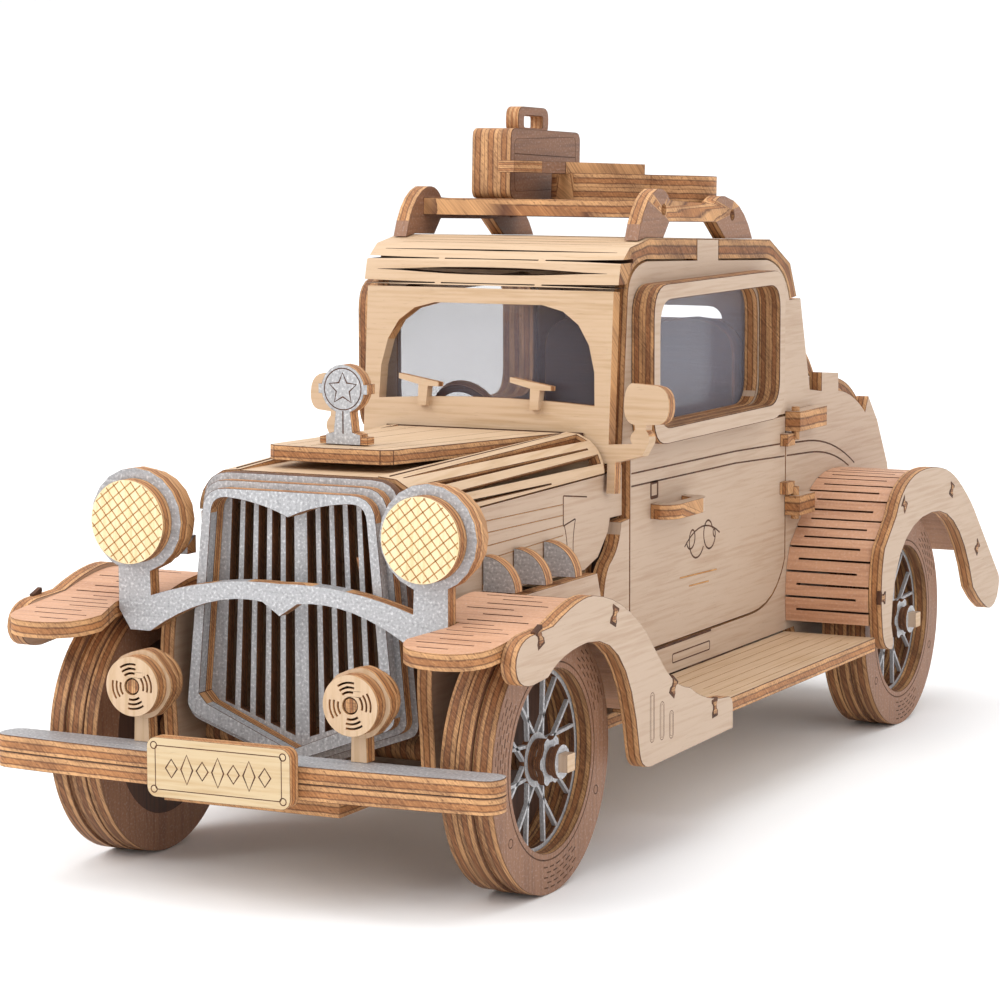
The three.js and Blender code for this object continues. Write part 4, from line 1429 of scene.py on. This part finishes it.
@dataclass
class Hood:
    """The kerf-bent hood skin, its raised lid, ornament, sides and vents."""

    front: float = -4.6
    rear: float = 41.5
    sheet: float = 1.6
    lid_top: float = 52.1
    lid_slope: float = -0.0349
    side_slope: float = 0.05

    def build(self) -> None:
        """Builds the hood."""
        self.skin()
        self.lid()
        self.ornament()
        for side, out in SIDES.items():
            self.side(side, out)
            dress(f"exhaust_vents_{side}", f"exhaust_vents_{side}_ply", Finish.SILVER, slot="painted_silver")

    def section(self, out: int, t: float, s: float, depth: float) -> Vector:
        """Finds a place on the hood's shoulder.

        Args:
            out: 1 or -1.
            t: 0 at the radiator, 1 at the windshield.
            s: 0 where the shoulder starts to bend, 1 at its foot; below 0 millimetres inwards.
            depth: how far under the outer face.

        Returns:
            The place.
        """
        flat, half = 10.4 + 2.6 * t, 15.4 + 2.6 * t - depth
        top, drop = 49.5 + 1.3 * t - depth, 5.2 - depth
        angle = max(s, 0.0) * math.pi / 2
        x = flat + min(s, 0.0) + (half - flat) * math.sin(angle)
        return Axis.Z.spot(out * x, self.y_at(t), top - drop * (1 - math.cos(angle)))

    def y_at(self, t: float) -> float:
        """Finds a station's distance behind the front axle.

        Args:
            t: 0 at the radiator, 1 at the windshield.

        Returns:
            Its Y.
        """
        return self.front + (self.rear - self.front) * t

    def skin(self) -> None:
        """Bends the hood's skin: a low middle and two shoulders with fanning slits."""
        stock = Stock("hood_skin", "body", Axis.Y)
        slits = [
            Slit(0.035, 0.985, (0.20, 0.17), (0.215, 0.385)),
            Slit(0.10, 0.95, (0.44, 0.535), (0.53, 0.56)),
            Slit(0.08, 0.985, (0.69, 0.68), (0.72, 0.83)),
            Slit(0.06, 0.69, (0.84, 0.935), (0.905, 0.955)),
        ]
        rows: list[Callable[[float], float]] = [lambda t: -0.9 + 0.35 * t]
        for slit in slits:
            rows += [slit.upper_at, slit.lower_at]
        rows.append(lambda t: 1.0)
        ends = {t for slit in slits for t in (slit.start, slit.end)}
        stations = sorted({i / 12 for i in range(13)} | ends)

        def missing(t: float, row: int) -> bool:
            """Tells whether a cell lies in a slit.

            Args:
                t: its station.
                row: the row before it.

            Returns:
                True in a slit.
            """
            return row % 2 == 1 and slits[row // 2].start < t < slits[row // 2].end

        wood = (self.sheet, Finish.BIRCH, Finish.EDGE)
        for out in (-1, 1):
            stock.shell(lambda t, s, d, out=out: self.section(out, t, s, d), stations, rows, missing, *wood)

        def middle(t: float, x: float, depth: float) -> Vector:
            """Finds a place on the low middle of the skin.

            Args:
                t: 0 at the radiator, 1 at the windshield.
                x: -1 at its right edge, 1 at its left.
                depth: how far under the upper face.

            Returns:
                The place.
            """
            return Axis.Z.spot(x * (9.6 + 3.3 * t), self.y_at(t), 49.35 - 0.8 * t - depth)

        edges = (lambda t: -1.0, lambda t: 1.0)
        stock.shell(middle, (0.0, 0.5, 1.0), edges, lambda t, row: False, *wood)
        since = len(stock.bm.verts)
        for out in (-1, 1):
            run = [self.section(out, t, s, 0.0) / MM for t, s in ((0.02, 0.02), (0.96, -0.3))]
            stock.line(Axis.Z, [(p.x, p.y - AXLE_Y) for p in run], 49.5, 1, 0.16)
        stock.tilt(since, 1.3 / (self.rear - self.front), self.front, Axis.Z)
        stock.place("hood_top", slot="bare_wood", ease=0.08)

    def lid(self) -> None:
        """Lays the lid and burns its long plank lines."""
        stock = Stock("hood_lid_ply", "body", Axis.Y)
        stock.carry("hood_lid", Finish.BIRCH, Finish.EDGE, (1.85,))
        since = len(stock.bm.verts)
        for out in (-1, 1):
            for near, far in ((3.0, 4.2), (6.3, 8.9)):
                plank = [(out * near, 1.2), (out * far, 40.2)]
                stock.line(Axis.Z, plank, self.lid_top, 1, 0.16, finish=Finish.SCORCH)
        low, _ = node_span("hood_lid", 1)
        for x in (-3.3, 3.3):
            stock.line(Axis.Z, [(x, low - AXLE_Y + 0.3), (x, low - AXLE_Y + 1.3)], self.lid_top, 1, 0.2)
        stock.tilt(since, self.lid_slope, 0.0, Axis.Z)
        stock.place("hood_lid", slot="bare_wood", ease=0.1)

    def ornament(self) -> None:
        """Stands the round ornament on the lid, engraved with a plain star."""
        node = "hood_ornament"
        stock = Stock("hood_ornament_ply", "body", Axis.Z)
        stock.carry(node, Finish.SILVER, Finish.EDGE)
        front = node_span(node, 1)[0] - AXLE_Y
        rays = []
        for i in range(10):
            a = math.pi / 2 + math.tau * i / 10
            r = 2.0 if i % 2 == 0 else 0.95
            rays.append((r * math.cos(a), 58.9 + r * math.sin(a)))
        stock.line(Axis.Y, rays, front, -1, 0.22, True)
        stock.line(Axis.Y, circle(0, 58.9, 2.55, 40), front, -1, 0.16, True)
        stock.line(Axis.Y, [(0, 53.4), (0, 56.2)], front, -1, 0.2)
        foot = node_span(node, 2)[0]
        for x in (-2.6, 2.6):
            toe = round_box(x - 0.75, front + 0.1, x + 0.75, front + 1.9, 0.1, 2)
            stock.plate(Axis.Z, toe, foot, foot + 0.9, Finish.TREAD, Finish.EDGE)
        stock.place(node, slot="painted_silver", ease=0.1)

    def side(self, side: str, out: int) -> None:
        """Burns the tapering louvre lines into one hood side.

        Args:
            side: right or left.
            out: 1 or -1.
        """
        stock = Stock(f"hood_side_{side}_ply", "body", Axis.Y)
        stock.carry(f"hood_side_{side}", Finish.BODY, Finish.EDGE)
        since = len(stock.bm.verts)
        level = out * (15.2 + 0.02)
        for z0, z1, y0 in ((42.7, 42.6, 4.0), (41.2, 41.2, 6.0), (39.5, 39.9, 8.0), (37.9, 38.6, 12.0)):
            stock.line(Axis.X, [(y0, z0), (31.1, z1)], level, out, 0.2, finish=Finish.SCORCH)
        stock.line(Axis.X, [(31.1, 43.7), (31.1, 39.8)], level, out, 0.28)
        stock.line(Axis.X, [(31.1, 43.7), (35.2, 43.2), (37.6, 42.9)], level, out, 0.24)
        stock.line(Axis.X, [(31.1, 39.8), (34.4, 40.4)], level, out, 0.26)
        stock.line(Axis.X, curve((31.4, 39.8), (32.6, 37.0), (32.0, 34.0)), level, out, 0.2)
        stock.line(Axis.X, curve((34.4, 40.4), (33.2, 37.0), (34.2, 34.4)), level, out, 0.2)
        stock.tilt(since, out * self.side_slope, self.front, Axis.X)
        stock.place(f"hood_side_{side}", slot="bare_wood", ease=0.08)


# ---- fenders and running boards ------------------------------------------------------


@dataclass
class Fenders:
    """Outer plates, slit skins and running boards on both sides."""

    nose_x: float = 34.6
    tail_x: float = 33.8
    inner_x: float = 18.85
    skin_x: float = 31.75

    def build(self) -> None:
        """Builds both sides, front to back."""
        for side, out in SIDES.items():
            self.front_plate(side, out)
            self.front_skin(side, out)
            self.rear_plate(side, out)
            self.rear_skin(side, out)
            self.board(side, out)

    def tab(self, stock: Stock, y: float, z: float, turn: float, face: float, long: float = 1.9) -> None:
        """Shows the end of a skin tab in its dovetail notch.

        Args:
            stock: the outer plate.
            y: the notch's middle.
            z: the notch's middle.
            turn: the notch's lean in degrees.
            face: X of the plate's outer face.
            long: length across the plate's edge.
        """
        a = math.radians(turn)
        half = [(0.95, -long), (0.95, -long * 0.45), (0.6, -0.2), (0.6, 0.3)]
        half += [(1.0, long * 0.5), (1.0, long * 0.8)]
        waist = [(-0.95, -long), *half, *((-u, v) for u, v in reversed(half[1:]))]

        def turned(across: float, tall: float) -> list[Point]:
            """Turns the waisted outline, scaled.

            Args:
                across: its scale along the plate's edge.
                tall: its scale across it.

            Returns:
                The outline.
            """
            points = []
            for u, v in waist:
                u, v = u * across, v * tall
                points.append((y + u * math.cos(a) - v * math.sin(a), z + u * math.sin(a) + v * math.cos(a)))
            return points

        out = math.copysign(1.0, face)
        low, high = sorted((face - out * 0.6, face + out * 0.04))
        stock.plate(Axis.X, turned(1.0, 1.0), low, high, Finish.BURNT, Finish.BURNT)
        low, high = sorted((face - out * 0.5, face + out * 0.09))
        stock.plate(Axis.X, turned(0.62, 0.72), low, high, Finish.TREAD, Finish.EDGE)

    def front_plate(self, side: str, out: int) -> None:
        """Dresses the front fender's outer plate: tabs and three slots.

        Args:
            side: right or left.
            out: 1 or -1.
        """
        node = f"front_fender_side_{side}"
        stock = Stock(node + "_ply", "body", Axis.Y)
        stock.carry(node, Finish.BODY, Finish.EDGE)
        face = out * self.nose_x
        for y, z, turn in ((-12.2, 33.0, 20), (8.4, 32.7, -24), (26.2, 21.2, -32), (39.4, 16.4, 4)):
            self.tab(stock, y, z, turn, face, 1.35)
        for y, z0, z1 in ((19.6, 15.2, 21.4), (22.6, 15.0, 19.8), (25.5, 14.7, 18.2)):
            for inset, width in ((0.0, 0.16), (0.28, 0.12)):
                loop = round_box(y - 0.62 + inset, z0 + inset, y + 0.62 - inset, z1 - inset, 0.6 - inset, 4)
                stock.line(Axis.X, loop, face, out, width, True)
        stock.place(node, slot="bare_wood", ease=0.1)

    def front_skin(self, side: str, out: int) -> None:
        """Slits the front fender's copper skin with short staggered kerfs.

        Args:
            side: right or left.
            out: 1 or -1.
        """
        node = f"front_fender_skin_{side}"
        stock = Stock(node + "_kerfed", "body", Axis.X)
        stock.carry(node, Finish.COPPER, Finish.EDGE, (1.6, 2.0), slack=0.45)
        stock.index(Finish.BURNT)
        blades = Stock(node + "_blades", "body")
        lines = [(-21.6, 23.6, 27.6), (-19.4, 22.4, 29.8), (-17.4, 24.4, 31.0)]
        for i in range(15):
            y = -15.2 + i * 1.75
            reach = ((21.4, 27.6), (23.2, 31.2), (24.4, 29.6))[i % 3]
            lines.append((y, *reach))
        for y, x0, x1 in lines:
            kerf(blades, (out * x0, y), (out * x1, y), 0.24, 37.5, 12.0)
        stock.place(node, slot="painted_copper", ease=0.0, kerfs=blades)

    def rear_plate(self, side: str, out: int) -> None:
        """Dresses the rear fender's outer plate with its tab ends.

        Args:
            side: right or left.
            out: 1 or -1.
        """
        node = f"rear_fender_side_{side}"
        stock = Stock(node + "_ply", "body", Axis.Y)
        stock.carry(node, Finish.BODY, Finish.EDGE)
        face = out * self.tail_x
        for y, z, turn in ((104.0, 21.8, 84), (112.8, 34.6, 48), (134.2, 34.6, -26), (146.8, 24.2, -44)):
            self.tab(stock, y, z, turn, face, 1.2)
        stock.place(node, slot="bare_wood", ease=0.1)

    def rear_skin(self, side: str, out: int) -> None:
        """Slits the rear fender's copper skin: long kerfs between short ones.

        Args:
            side: right or left.
            out: 1 or -1.
        """
        node = f"rear_fender_skin_{side}"
        stock = Stock(node + "_kerfed", "body", Axis.X)
        stock.carry(node, Finish.COPPER, Finish.EDGE, (1.6,), slack=0.5)
        stock.index(Finish.BURNT)
        blades = Stock(node + "_blades", "body")
        centre = Vector((122.4, 20.5))
        for i in range(26):
            a = math.radians(183.3 - i * 5.6)
            way = Vector((math.cos(a), math.sin(a)))
            across = way.orthogonal().normalized() * 0.16
            near, far = centre + way * 10, centre + way * 33
            quad = [near + across, far + across, far - across, near - across]
            inset, reach = (1.7, 0.5) if i % 2 == 0 else (-0.5, -1.9)
            low, high = sorted((out * (self.inner_x + inset), out * (self.skin_x + reach)))
            blades.plate(Axis.X, [(p.x, p.y) for p in quad], low, high, Finish.BURNT, Finish.BURNT)
        stock.place(node, slot="painted_copper", ease=0.0, kerfs=blades)

    def board(self, side: str, out: int) -> None:
        """Lays the running board with its faint long streaks.

        Args:
            side: right or left.
            out: 1 or -1.
        """
        node = f"running_board_{side}"
        stock = Stock(node + "_ply", "body", Axis.Y)
        stock.carry(node, Finish.BIRCH, Finish.EDGE)
        level = node_span(node, 2)[1]
        for i, x in enumerate((20.6, 22.8, 25.0, 27.2, 29.4, 31.2)):
            streak = [(out * x, 50.0 + (i % 2) * 3), (out * x, 101.0 - (i % 3) * 2)]
            stock.line(Axis.Z, streak, level, 1, 0.2, finish=Finish.SCORCH)
        stock.place(node, slot="bare_wood", ease=0.1)


# ---- body sides and doors ------------------------------------------------------------


@dataclass
class Sides:
    """The floor, the two body sides and the doors that turn on pins."""

    face_x: float = 18.8

    def build(self) -> None:
        """Builds the floor, sides and doors."""
        stock = Stock("floor_ply", "body", Axis.Y)
        stock.carry("floor_plate", Finish.BODY, Finish.EDGE)
        stock.place("floor_plate", slot="bare_wood", ease=0.1)
        for side, out in SIDES.items():
            self.panel(side, out)
            self.door(side, out)
            self.frame(side)
            self.pane(side)

    def panel(self, side: str, out: int) -> None:
        """Dresses one body side with its belt lines and sill slots.

        Args:
            side: right or left.
            out: 1 or -1.
        """
        node = f"side_panel_{side}"
        stock = Stock(node + "_ply", "body", Axis.Y)
        stock.carry(node, Finish.BODY, Finish.EDGE, (PLY, 2.9))
        level = out * self.face_x
        upper = [(103.6, 43.8), (110.0, 43.5)] + curve((110.0, 43.5), (122.0, 43.2), (131.8, 38.2))[1:]
        lower = [(103.6, 42.0), (113.0, 41.6)] + curve((113.0, 41.6), (122.0, 41.2), (129.3, 38.0))[1:]
        stock.line(Axis.X, upper, level, out, 0.26)
        stock.line(Axis.X, lower, level, out, 0.26)
        slot = round_box(62.0, 17.5, 75.0, 18.7, 0.2, 2)
        stock.line(Axis.X, slot, level, out, 0.2, True)
        stock.line(Axis.X, [(48.2, 20.15), (62.0, 20.15), (75.5, 20.15)], level, out, 0.34)
        stock.place(node, slot="bare_wood", ease=0.1)

    def door(self, side: str, out: int) -> None:
        """Dresses one door with its belt lines, handle slot and flourish.

        Args:
            side: right or left.
            out: 1 or -1.
        """
        node = f"door_panel_{side}"
        stock = Stock(node + "_ply", f"door_{side}", Axis.Y)
        stock.carry(node, Finish.BODY, Finish.EDGE, (PLY,))
        level = out * self.face_x
        for z0, z1 in ((44.9, 43.9), (43.2, 42.0)):
            stock.line(Axis.X, [(48.2, z0), (84.0, z0 - 0.4), (102.8, z1)], level, out, 0.26)
        stock.line(Axis.X, round_box(54.6, 41.0, 56.8, 43.0, 0.15, 2), level, out, 0.5, True)
        self.flourish(stock, level, out)
        stock.place(node, slot="bare_wood", ease=0.1)

    def flourish(self, stock: Stock, level: float, out: int) -> None:
        """Burns a scroll and two rules where a maker would sign.

        Args:
            stock: the door.
            level: X of the door's face.
            out: 1 or -1.
        """
        middle = (72.0, 33.4)
        for way in (-1, 1):
            points = []
            for i in range(40):
                t = i / 39
                a = way * (0.4 + t * 3.1 * math.pi)
                r = 0.35 + 2.3 * (1 - t)
                y = middle[0] + way * (3.4 * t + 1.6) + r * math.cos(a) * 0.9
                points.append((y, middle[1] + r * math.sin(a)))
            stock.line(Axis.X, points, level, out, 0.3)
        stock.line(Axis.X, curve((66.0, 33.0), (72.0, 37.0), (78.4, 33.6)), level, out, 0.26)
        stock.line(Axis.X, [(64.4, 28.9), (77.4, 28.5)], level, out, 0.26, finish=Finish.SCORCH)
        stock.line(Axis.X, [(67.6, 27.4), (74.6, 27.2)], level, out, 0.26, finish=Finish.SCORCH)

    def frame(self, side: str) -> None:
        """Dresses one raised window frame, two sheets thick.

        Args:
            side: right or left.
        """
        node = f"door_window_frame_{side}"
        low, high = node_span(node, 0)
        thick = (high - low,)
        door = f"door_{side}"
        dress(node, node + "_ply", Finish.BODY, Finish.TREAD, thick, body=door, grain=Axis.Y, sheets=2)

    def pane(self, side: str) -> None:
        """Glazes one door.

        Args:
            side: right or left.
        """
        glaze(f"door_pane_{side}", f"door_pane_{side}_sheet", Finish.PANE, f"door_{side}", Axis.Y)


# ---- cab -----------------------------------------------------------------------------


@dataclass
class Cab:
    """Windshield, roof, back and rear deck."""

    def build(self) -> None:
        """Builds the cab's shell."""
        stock = Stock("windshield_ply", "body", Axis.X)
        stock.carry("windshield_plate", Finish.BIRCH, Finish.EDGE, (PLY, 1.5, 2.9), slack=0.3, along=Axis.Y)
        front = 42.3
        # A dark line where the hood lid meets the windshield: painted shade in the gap between them.
        stock.line(Axis.Y, [(-14.6, 50.5), (14.6, 50.5)], front - 0.12, -1, 0.4)
        stock.place("windshield_plate", slot="bare_wood", ease=0.0)
        # The windshield's grey tint is painted shade over the cab inside.
        glaze("windshield_pane", "windshield_sheet", Finish.SCREEN, "body", Axis.X)
        self.roof()
        dress("back_panel", "back_panel_ply", Finish.BODY, Finish.TREAD, (PLY,), ease=0.08, slack=0.4)
        dress("trunk_lid", "trunk_lid_ply", Finish.BODY, Finish.TREAD, (1.6, 1.9, 2.2), ease=0.08, slack=0.4)
        self.tail()

    def roof(self) -> None:
        """Slits the roof's bent front edge and burns the lines behind it."""
        stock = Stock("roof_skin", "body", Axis.X)
        stock.carry("roof_panel", Finish.BIRCH, Finish.TREAD, (2.3, 2.7), slack=0.6)
        stock.index(Finish.BURNT)
        blades = Stock("roof_blades", "body")
        right, middle, left = (-19.0, -8.1), (-7.2, 6.7), (7.7, 19.0)
        bulge = (0.04, 0.22, 0.55, 0.85, 0.98, 1.0, 0.98, 0.85, 0.55, 0.22, 0.04)
        for y, z, (x0, x1), tall in (
            (43.9, 69.75, right, (0.5, 0.3, 0.16)),
            (43.9, 69.75, middle, (0.16, 0.12, 0.16)),
            (43.9, 69.75, left, (0.16, 0.3, 0.5)),
            (44.4, 71.4, (-17.0, 17.0), bulge),
            (45.2, 72.95, right, (0.4, 0.2, 0.12)),
            (45.2, 72.95, middle, (0.14, 0.1, 0.14)),
            (45.2, 72.95, left, (0.14, 0.24, 0.5)),
            (46.7, 74.05, (-17.0, 17.4), (0.05, 0.14, 0.2, 0.14, 0.05)),
        ):
            xs = [x0 + (x1 - x0) * i / (len(tall) - 1) for i in range(len(tall))]
            upper = [(x, z + h / 2) for x, h in zip(xs, tall)]
            lower = [(x, z - h / 2) for x, h in zip(xs, tall)]
            blades.plate(Axis.Y, lower + upper[::-1], y - 1.8, y + 3.4, Finish.BURNT, Finish.BURNT)
        for y, half in ((49.0, 15.6), (50.6, 16.8), (52.2, 15.0)):
            kerf(blades, (-half, y), (half, y), 0.16, 76.5, 1.6, 0.08)
        stock.place("roof_panel", slot="bare_wood", ease=0.0, kerfs=blades)

    def tail(self) -> None:
        """Slits the bent tail skin with long and short kerfs."""
        stock = Stock("tail_skin_ply", "body", Axis.X)
        stock.carry("tail_skin", Finish.BODY, Finish.TREAD, (1.4, 1.7, 2.0), slack=0.4)
        stock.index(Finish.BURNT)
        blades = Stock("tail_blades", "body")
        for i in range(12):
            z = 22.0 + i * 1.5
            half = 15.2 if i % 2 == 0 else 12.6
            row = [(-half, z - 0.13), (half, z - 0.13), (half, z + 0.13), (-half, z + 0.13)]
            blades.plate(Axis.Y, row, 145.0, 158.0, Finish.BURNT, Finish.BURNT)
        for i in range(8):
            y = 128.6 + i * 2.1
            half = 15.2 if i % 2 == 0 else 12.6
            kerf(blades, (-half, y), (half, y), 0.26, 53.0, 14.0)
        stock.place("tail_skin", slot="bare_wood", ease=0.0, kerfs=blades)


@dataclass
class Interior:
    """Seat, dashboard and the steering wheel."""

    def build(self) -> None:
        """Builds what shows through the panes."""
        dark = Finish.DEEP_EDGE
        dress("seat", "seat_bench", Finish.COCOA, dark, (4.0, 20.0), "painted_brown",
              ease=0.3, rim=dark, slack=0.6)
        dress("dash_board", "dash_board_ply", Finish.BODY)
        dress("steering_wheel", "steering_wheel_ply", Finish.TAUPE, Finish.EDGE, (1.6, 2.6), "cut_edge_wood",
              "steering", slack=0.2)


# ---- roof rack and luggage -----------------------------------------------------------


@dataclass
class Luggage:
    """The roof rack with a suitcase and a guitar case."""

    def build(self) -> None:
        """Builds the rack, then what lies on it."""
        painted = {"slot": "painted_copper", "grain": Axis.Y, "slack": 0.12}
        dress("roof_rack", "roof_rack_ply", Finish.TAUPE, Finish.EDGE, (PLY, 2.3), **painted)
        self.suitcase()
        dress("guitar", "guitar_ply", Finish.TAUPE, Finish.EDGE, (3.65, 1.6, 5.15), sheets=2, **painted)

    def suitcase(self) -> None:
        """Dresses the suitcase: three sheets, an inset border and a lid seam."""
        stock = Stock("suitcase_ply", "body", Axis.Y)
        stock.carry("suitcase", Finish.TAUPE, Finish.EDGE, (6.0, PLY), sheets=3, slack=0.1)
        low, high = node_span("suitcase", 0)
        y0, y1 = (v - AXLE_Y for v in node_span("suitcase", 1))
        for level, out in ((low, -1), (high, 1)):
            stock.line(Axis.X, round_box(y0 + 1.3, 81.4, y1 - 1.6, 88.6, 0.8), level, out, 0.16, True)
            stock.line(Axis.X, [(y0 + 1.3, 86.6), (y1 - 1.6, 85.7)], level, out, 0.22)
        stock.place("suitcase", slot="painted_copper", ease=0.12)


# ---- studio --------------------------------------------------------------------------


@dataclass
class Studio:
    """Pale seamless paper, soft lights and the camera."""

    place: tuple[float, float, float] = (201.06, -422.035, 94.47)
    azimuth: float = 26.50
    pitch: float = 6.82
    roll: float = -0.14
    lens: float = 121.66
    sensor: float = 36.0
    paper_width: float = 4.0

    def build(self) -> None:
        """Sets the paper, lights, world and camera."""
        self.paper()
        self.light("key", (-0.75, -0.75, 0.85), 0.9, 11.0)
        self.light("fill", (0.95, -0.55, 0.55), 1.0, 4.2)
        self.light("top", (0.0, 0.1, 1.3), 1.2, 7.0)
        self.light("backdrop_wash", (0.0, 0.7, 1.5), 1.6, 9.0, (0.0, 2.0, 0.5))
        world = bpy.data.worlds.new("room")
        world.use_nodes = True
        backing = world.node_tree.nodes["Background"]
        backing.inputs["Color"].default_value = (0.98, 0.985, 1.0, 1.0)
        backing.inputs["Strength"].default_value = 0.75
        bpy.context.scene.world = world
        bpy.context.scene.view_settings.view_transform = "Standard"
        self.camera()

    def paper(self) -> None:
        """Sweeps the floor up into a backdrop."""
        half = self.paper_width / 2
        profile = [(-1.6, 0.0), (1.2, 0.0)]
        for i in range(1, 19):
            a = math.radians(5 * i)
            profile.append((1.2 + 0.8 * math.sin(a), 0.8 - 0.8 * math.cos(a)))
        profile += [(2.0, 2.6)]
        bm = bmesh.new()
        rows = [[bm.verts.new((x, y, z)) for x in (-half, half)] for y, z in profile]
        for near, far in zip(rows, rows[1:]):
            bm.faces.new([near[0], near[1], far[1], far[0]])
        mesh = bpy.data.meshes.new("paper")
        bm.to_mesh(mesh)
        bm.free()
        mesh.materials.append(Finish.PAPER.material())
        mesh.polygons.foreach_set("use_smooth", [True] * len(mesh.polygons))
        sweep = bpy.data.objects.new("paper_sweep", mesh)
        bpy.context.scene.collection.objects.link(sweep)

    def light(
        self,
        name: str,
        place: tuple[float, float, float],
        size: float,
        power: float,
        target: tuple[float, float, float] = (0.0, 0.0, 0.04),
    ) -> None:
        """Hangs one soft light, aimed at the model unless told otherwise.

        Args:
            name: its name.
            place: where it hangs, in metres.
            size: its side, in metres.
            power: its power in watts.
            target: what it points at, in metres.
        """
        data = bpy.data.lights.new(name, "AREA")
        data.shape = "SQUARE"
        data.size = size
        data.energy = power
        lamp = bpy.data.objects.new(name, data)
        lamp.location = place
        aim = Vector(target) - Vector(place)
        lamp.rotation_euler = aim.to_track_quat("-Z", "Y").to_euler()
        bpy.context.scene.collection.objects.link(lamp)

    def camera(self) -> None:
        """Points the camera."""
        az, pitch, roll = (math.radians(v) for v in (self.azimuth, self.pitch, self.roll))
        ahead = Vector((-math.sin(az) * math.cos(pitch), math.cos(az) * math.cos(pitch), -math.sin(pitch)))
        right = Vector((math.cos(az), math.sin(az), 0.0))
        up = right.cross(ahead)
        across = right * math.cos(roll) + up * math.sin(roll)
        above = up * math.cos(roll) - right * math.sin(roll)
        data = bpy.data.cameras.new("camera")
        data.sensor_width = self.sensor
        data.lens = self.lens
        data.clip_start, data.clip_end = 0.01, 20.0
        camera = bpy.data.objects.new("camera", data)
        turn = Matrix((across, above, -ahead)).transposed().to_4x4()
        camera.matrix_world = Matrix.Translation(Vector(self.place) * MM) @ turn
        bpy.context.scene.collection.objects.link(camera)
        bpy.context.scene.camera = camera


def main() -> None:
    """Builds the model's pieces and the studio, and logs each piece's face count."""
    logging.basicConfig(level=logging.INFO, format="%(message)s")
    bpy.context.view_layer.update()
    Studio().build()
    Wheels("front", 0.0).build()
    Wheels("rear", WHEELBASE).build()
    Nose().build()
    Hood().build()
    Fenders().build()
    Sides().build()
    Cab().build()
    Interior().build()
    Luggage().build()


if __name__ == "__main__":
    main()
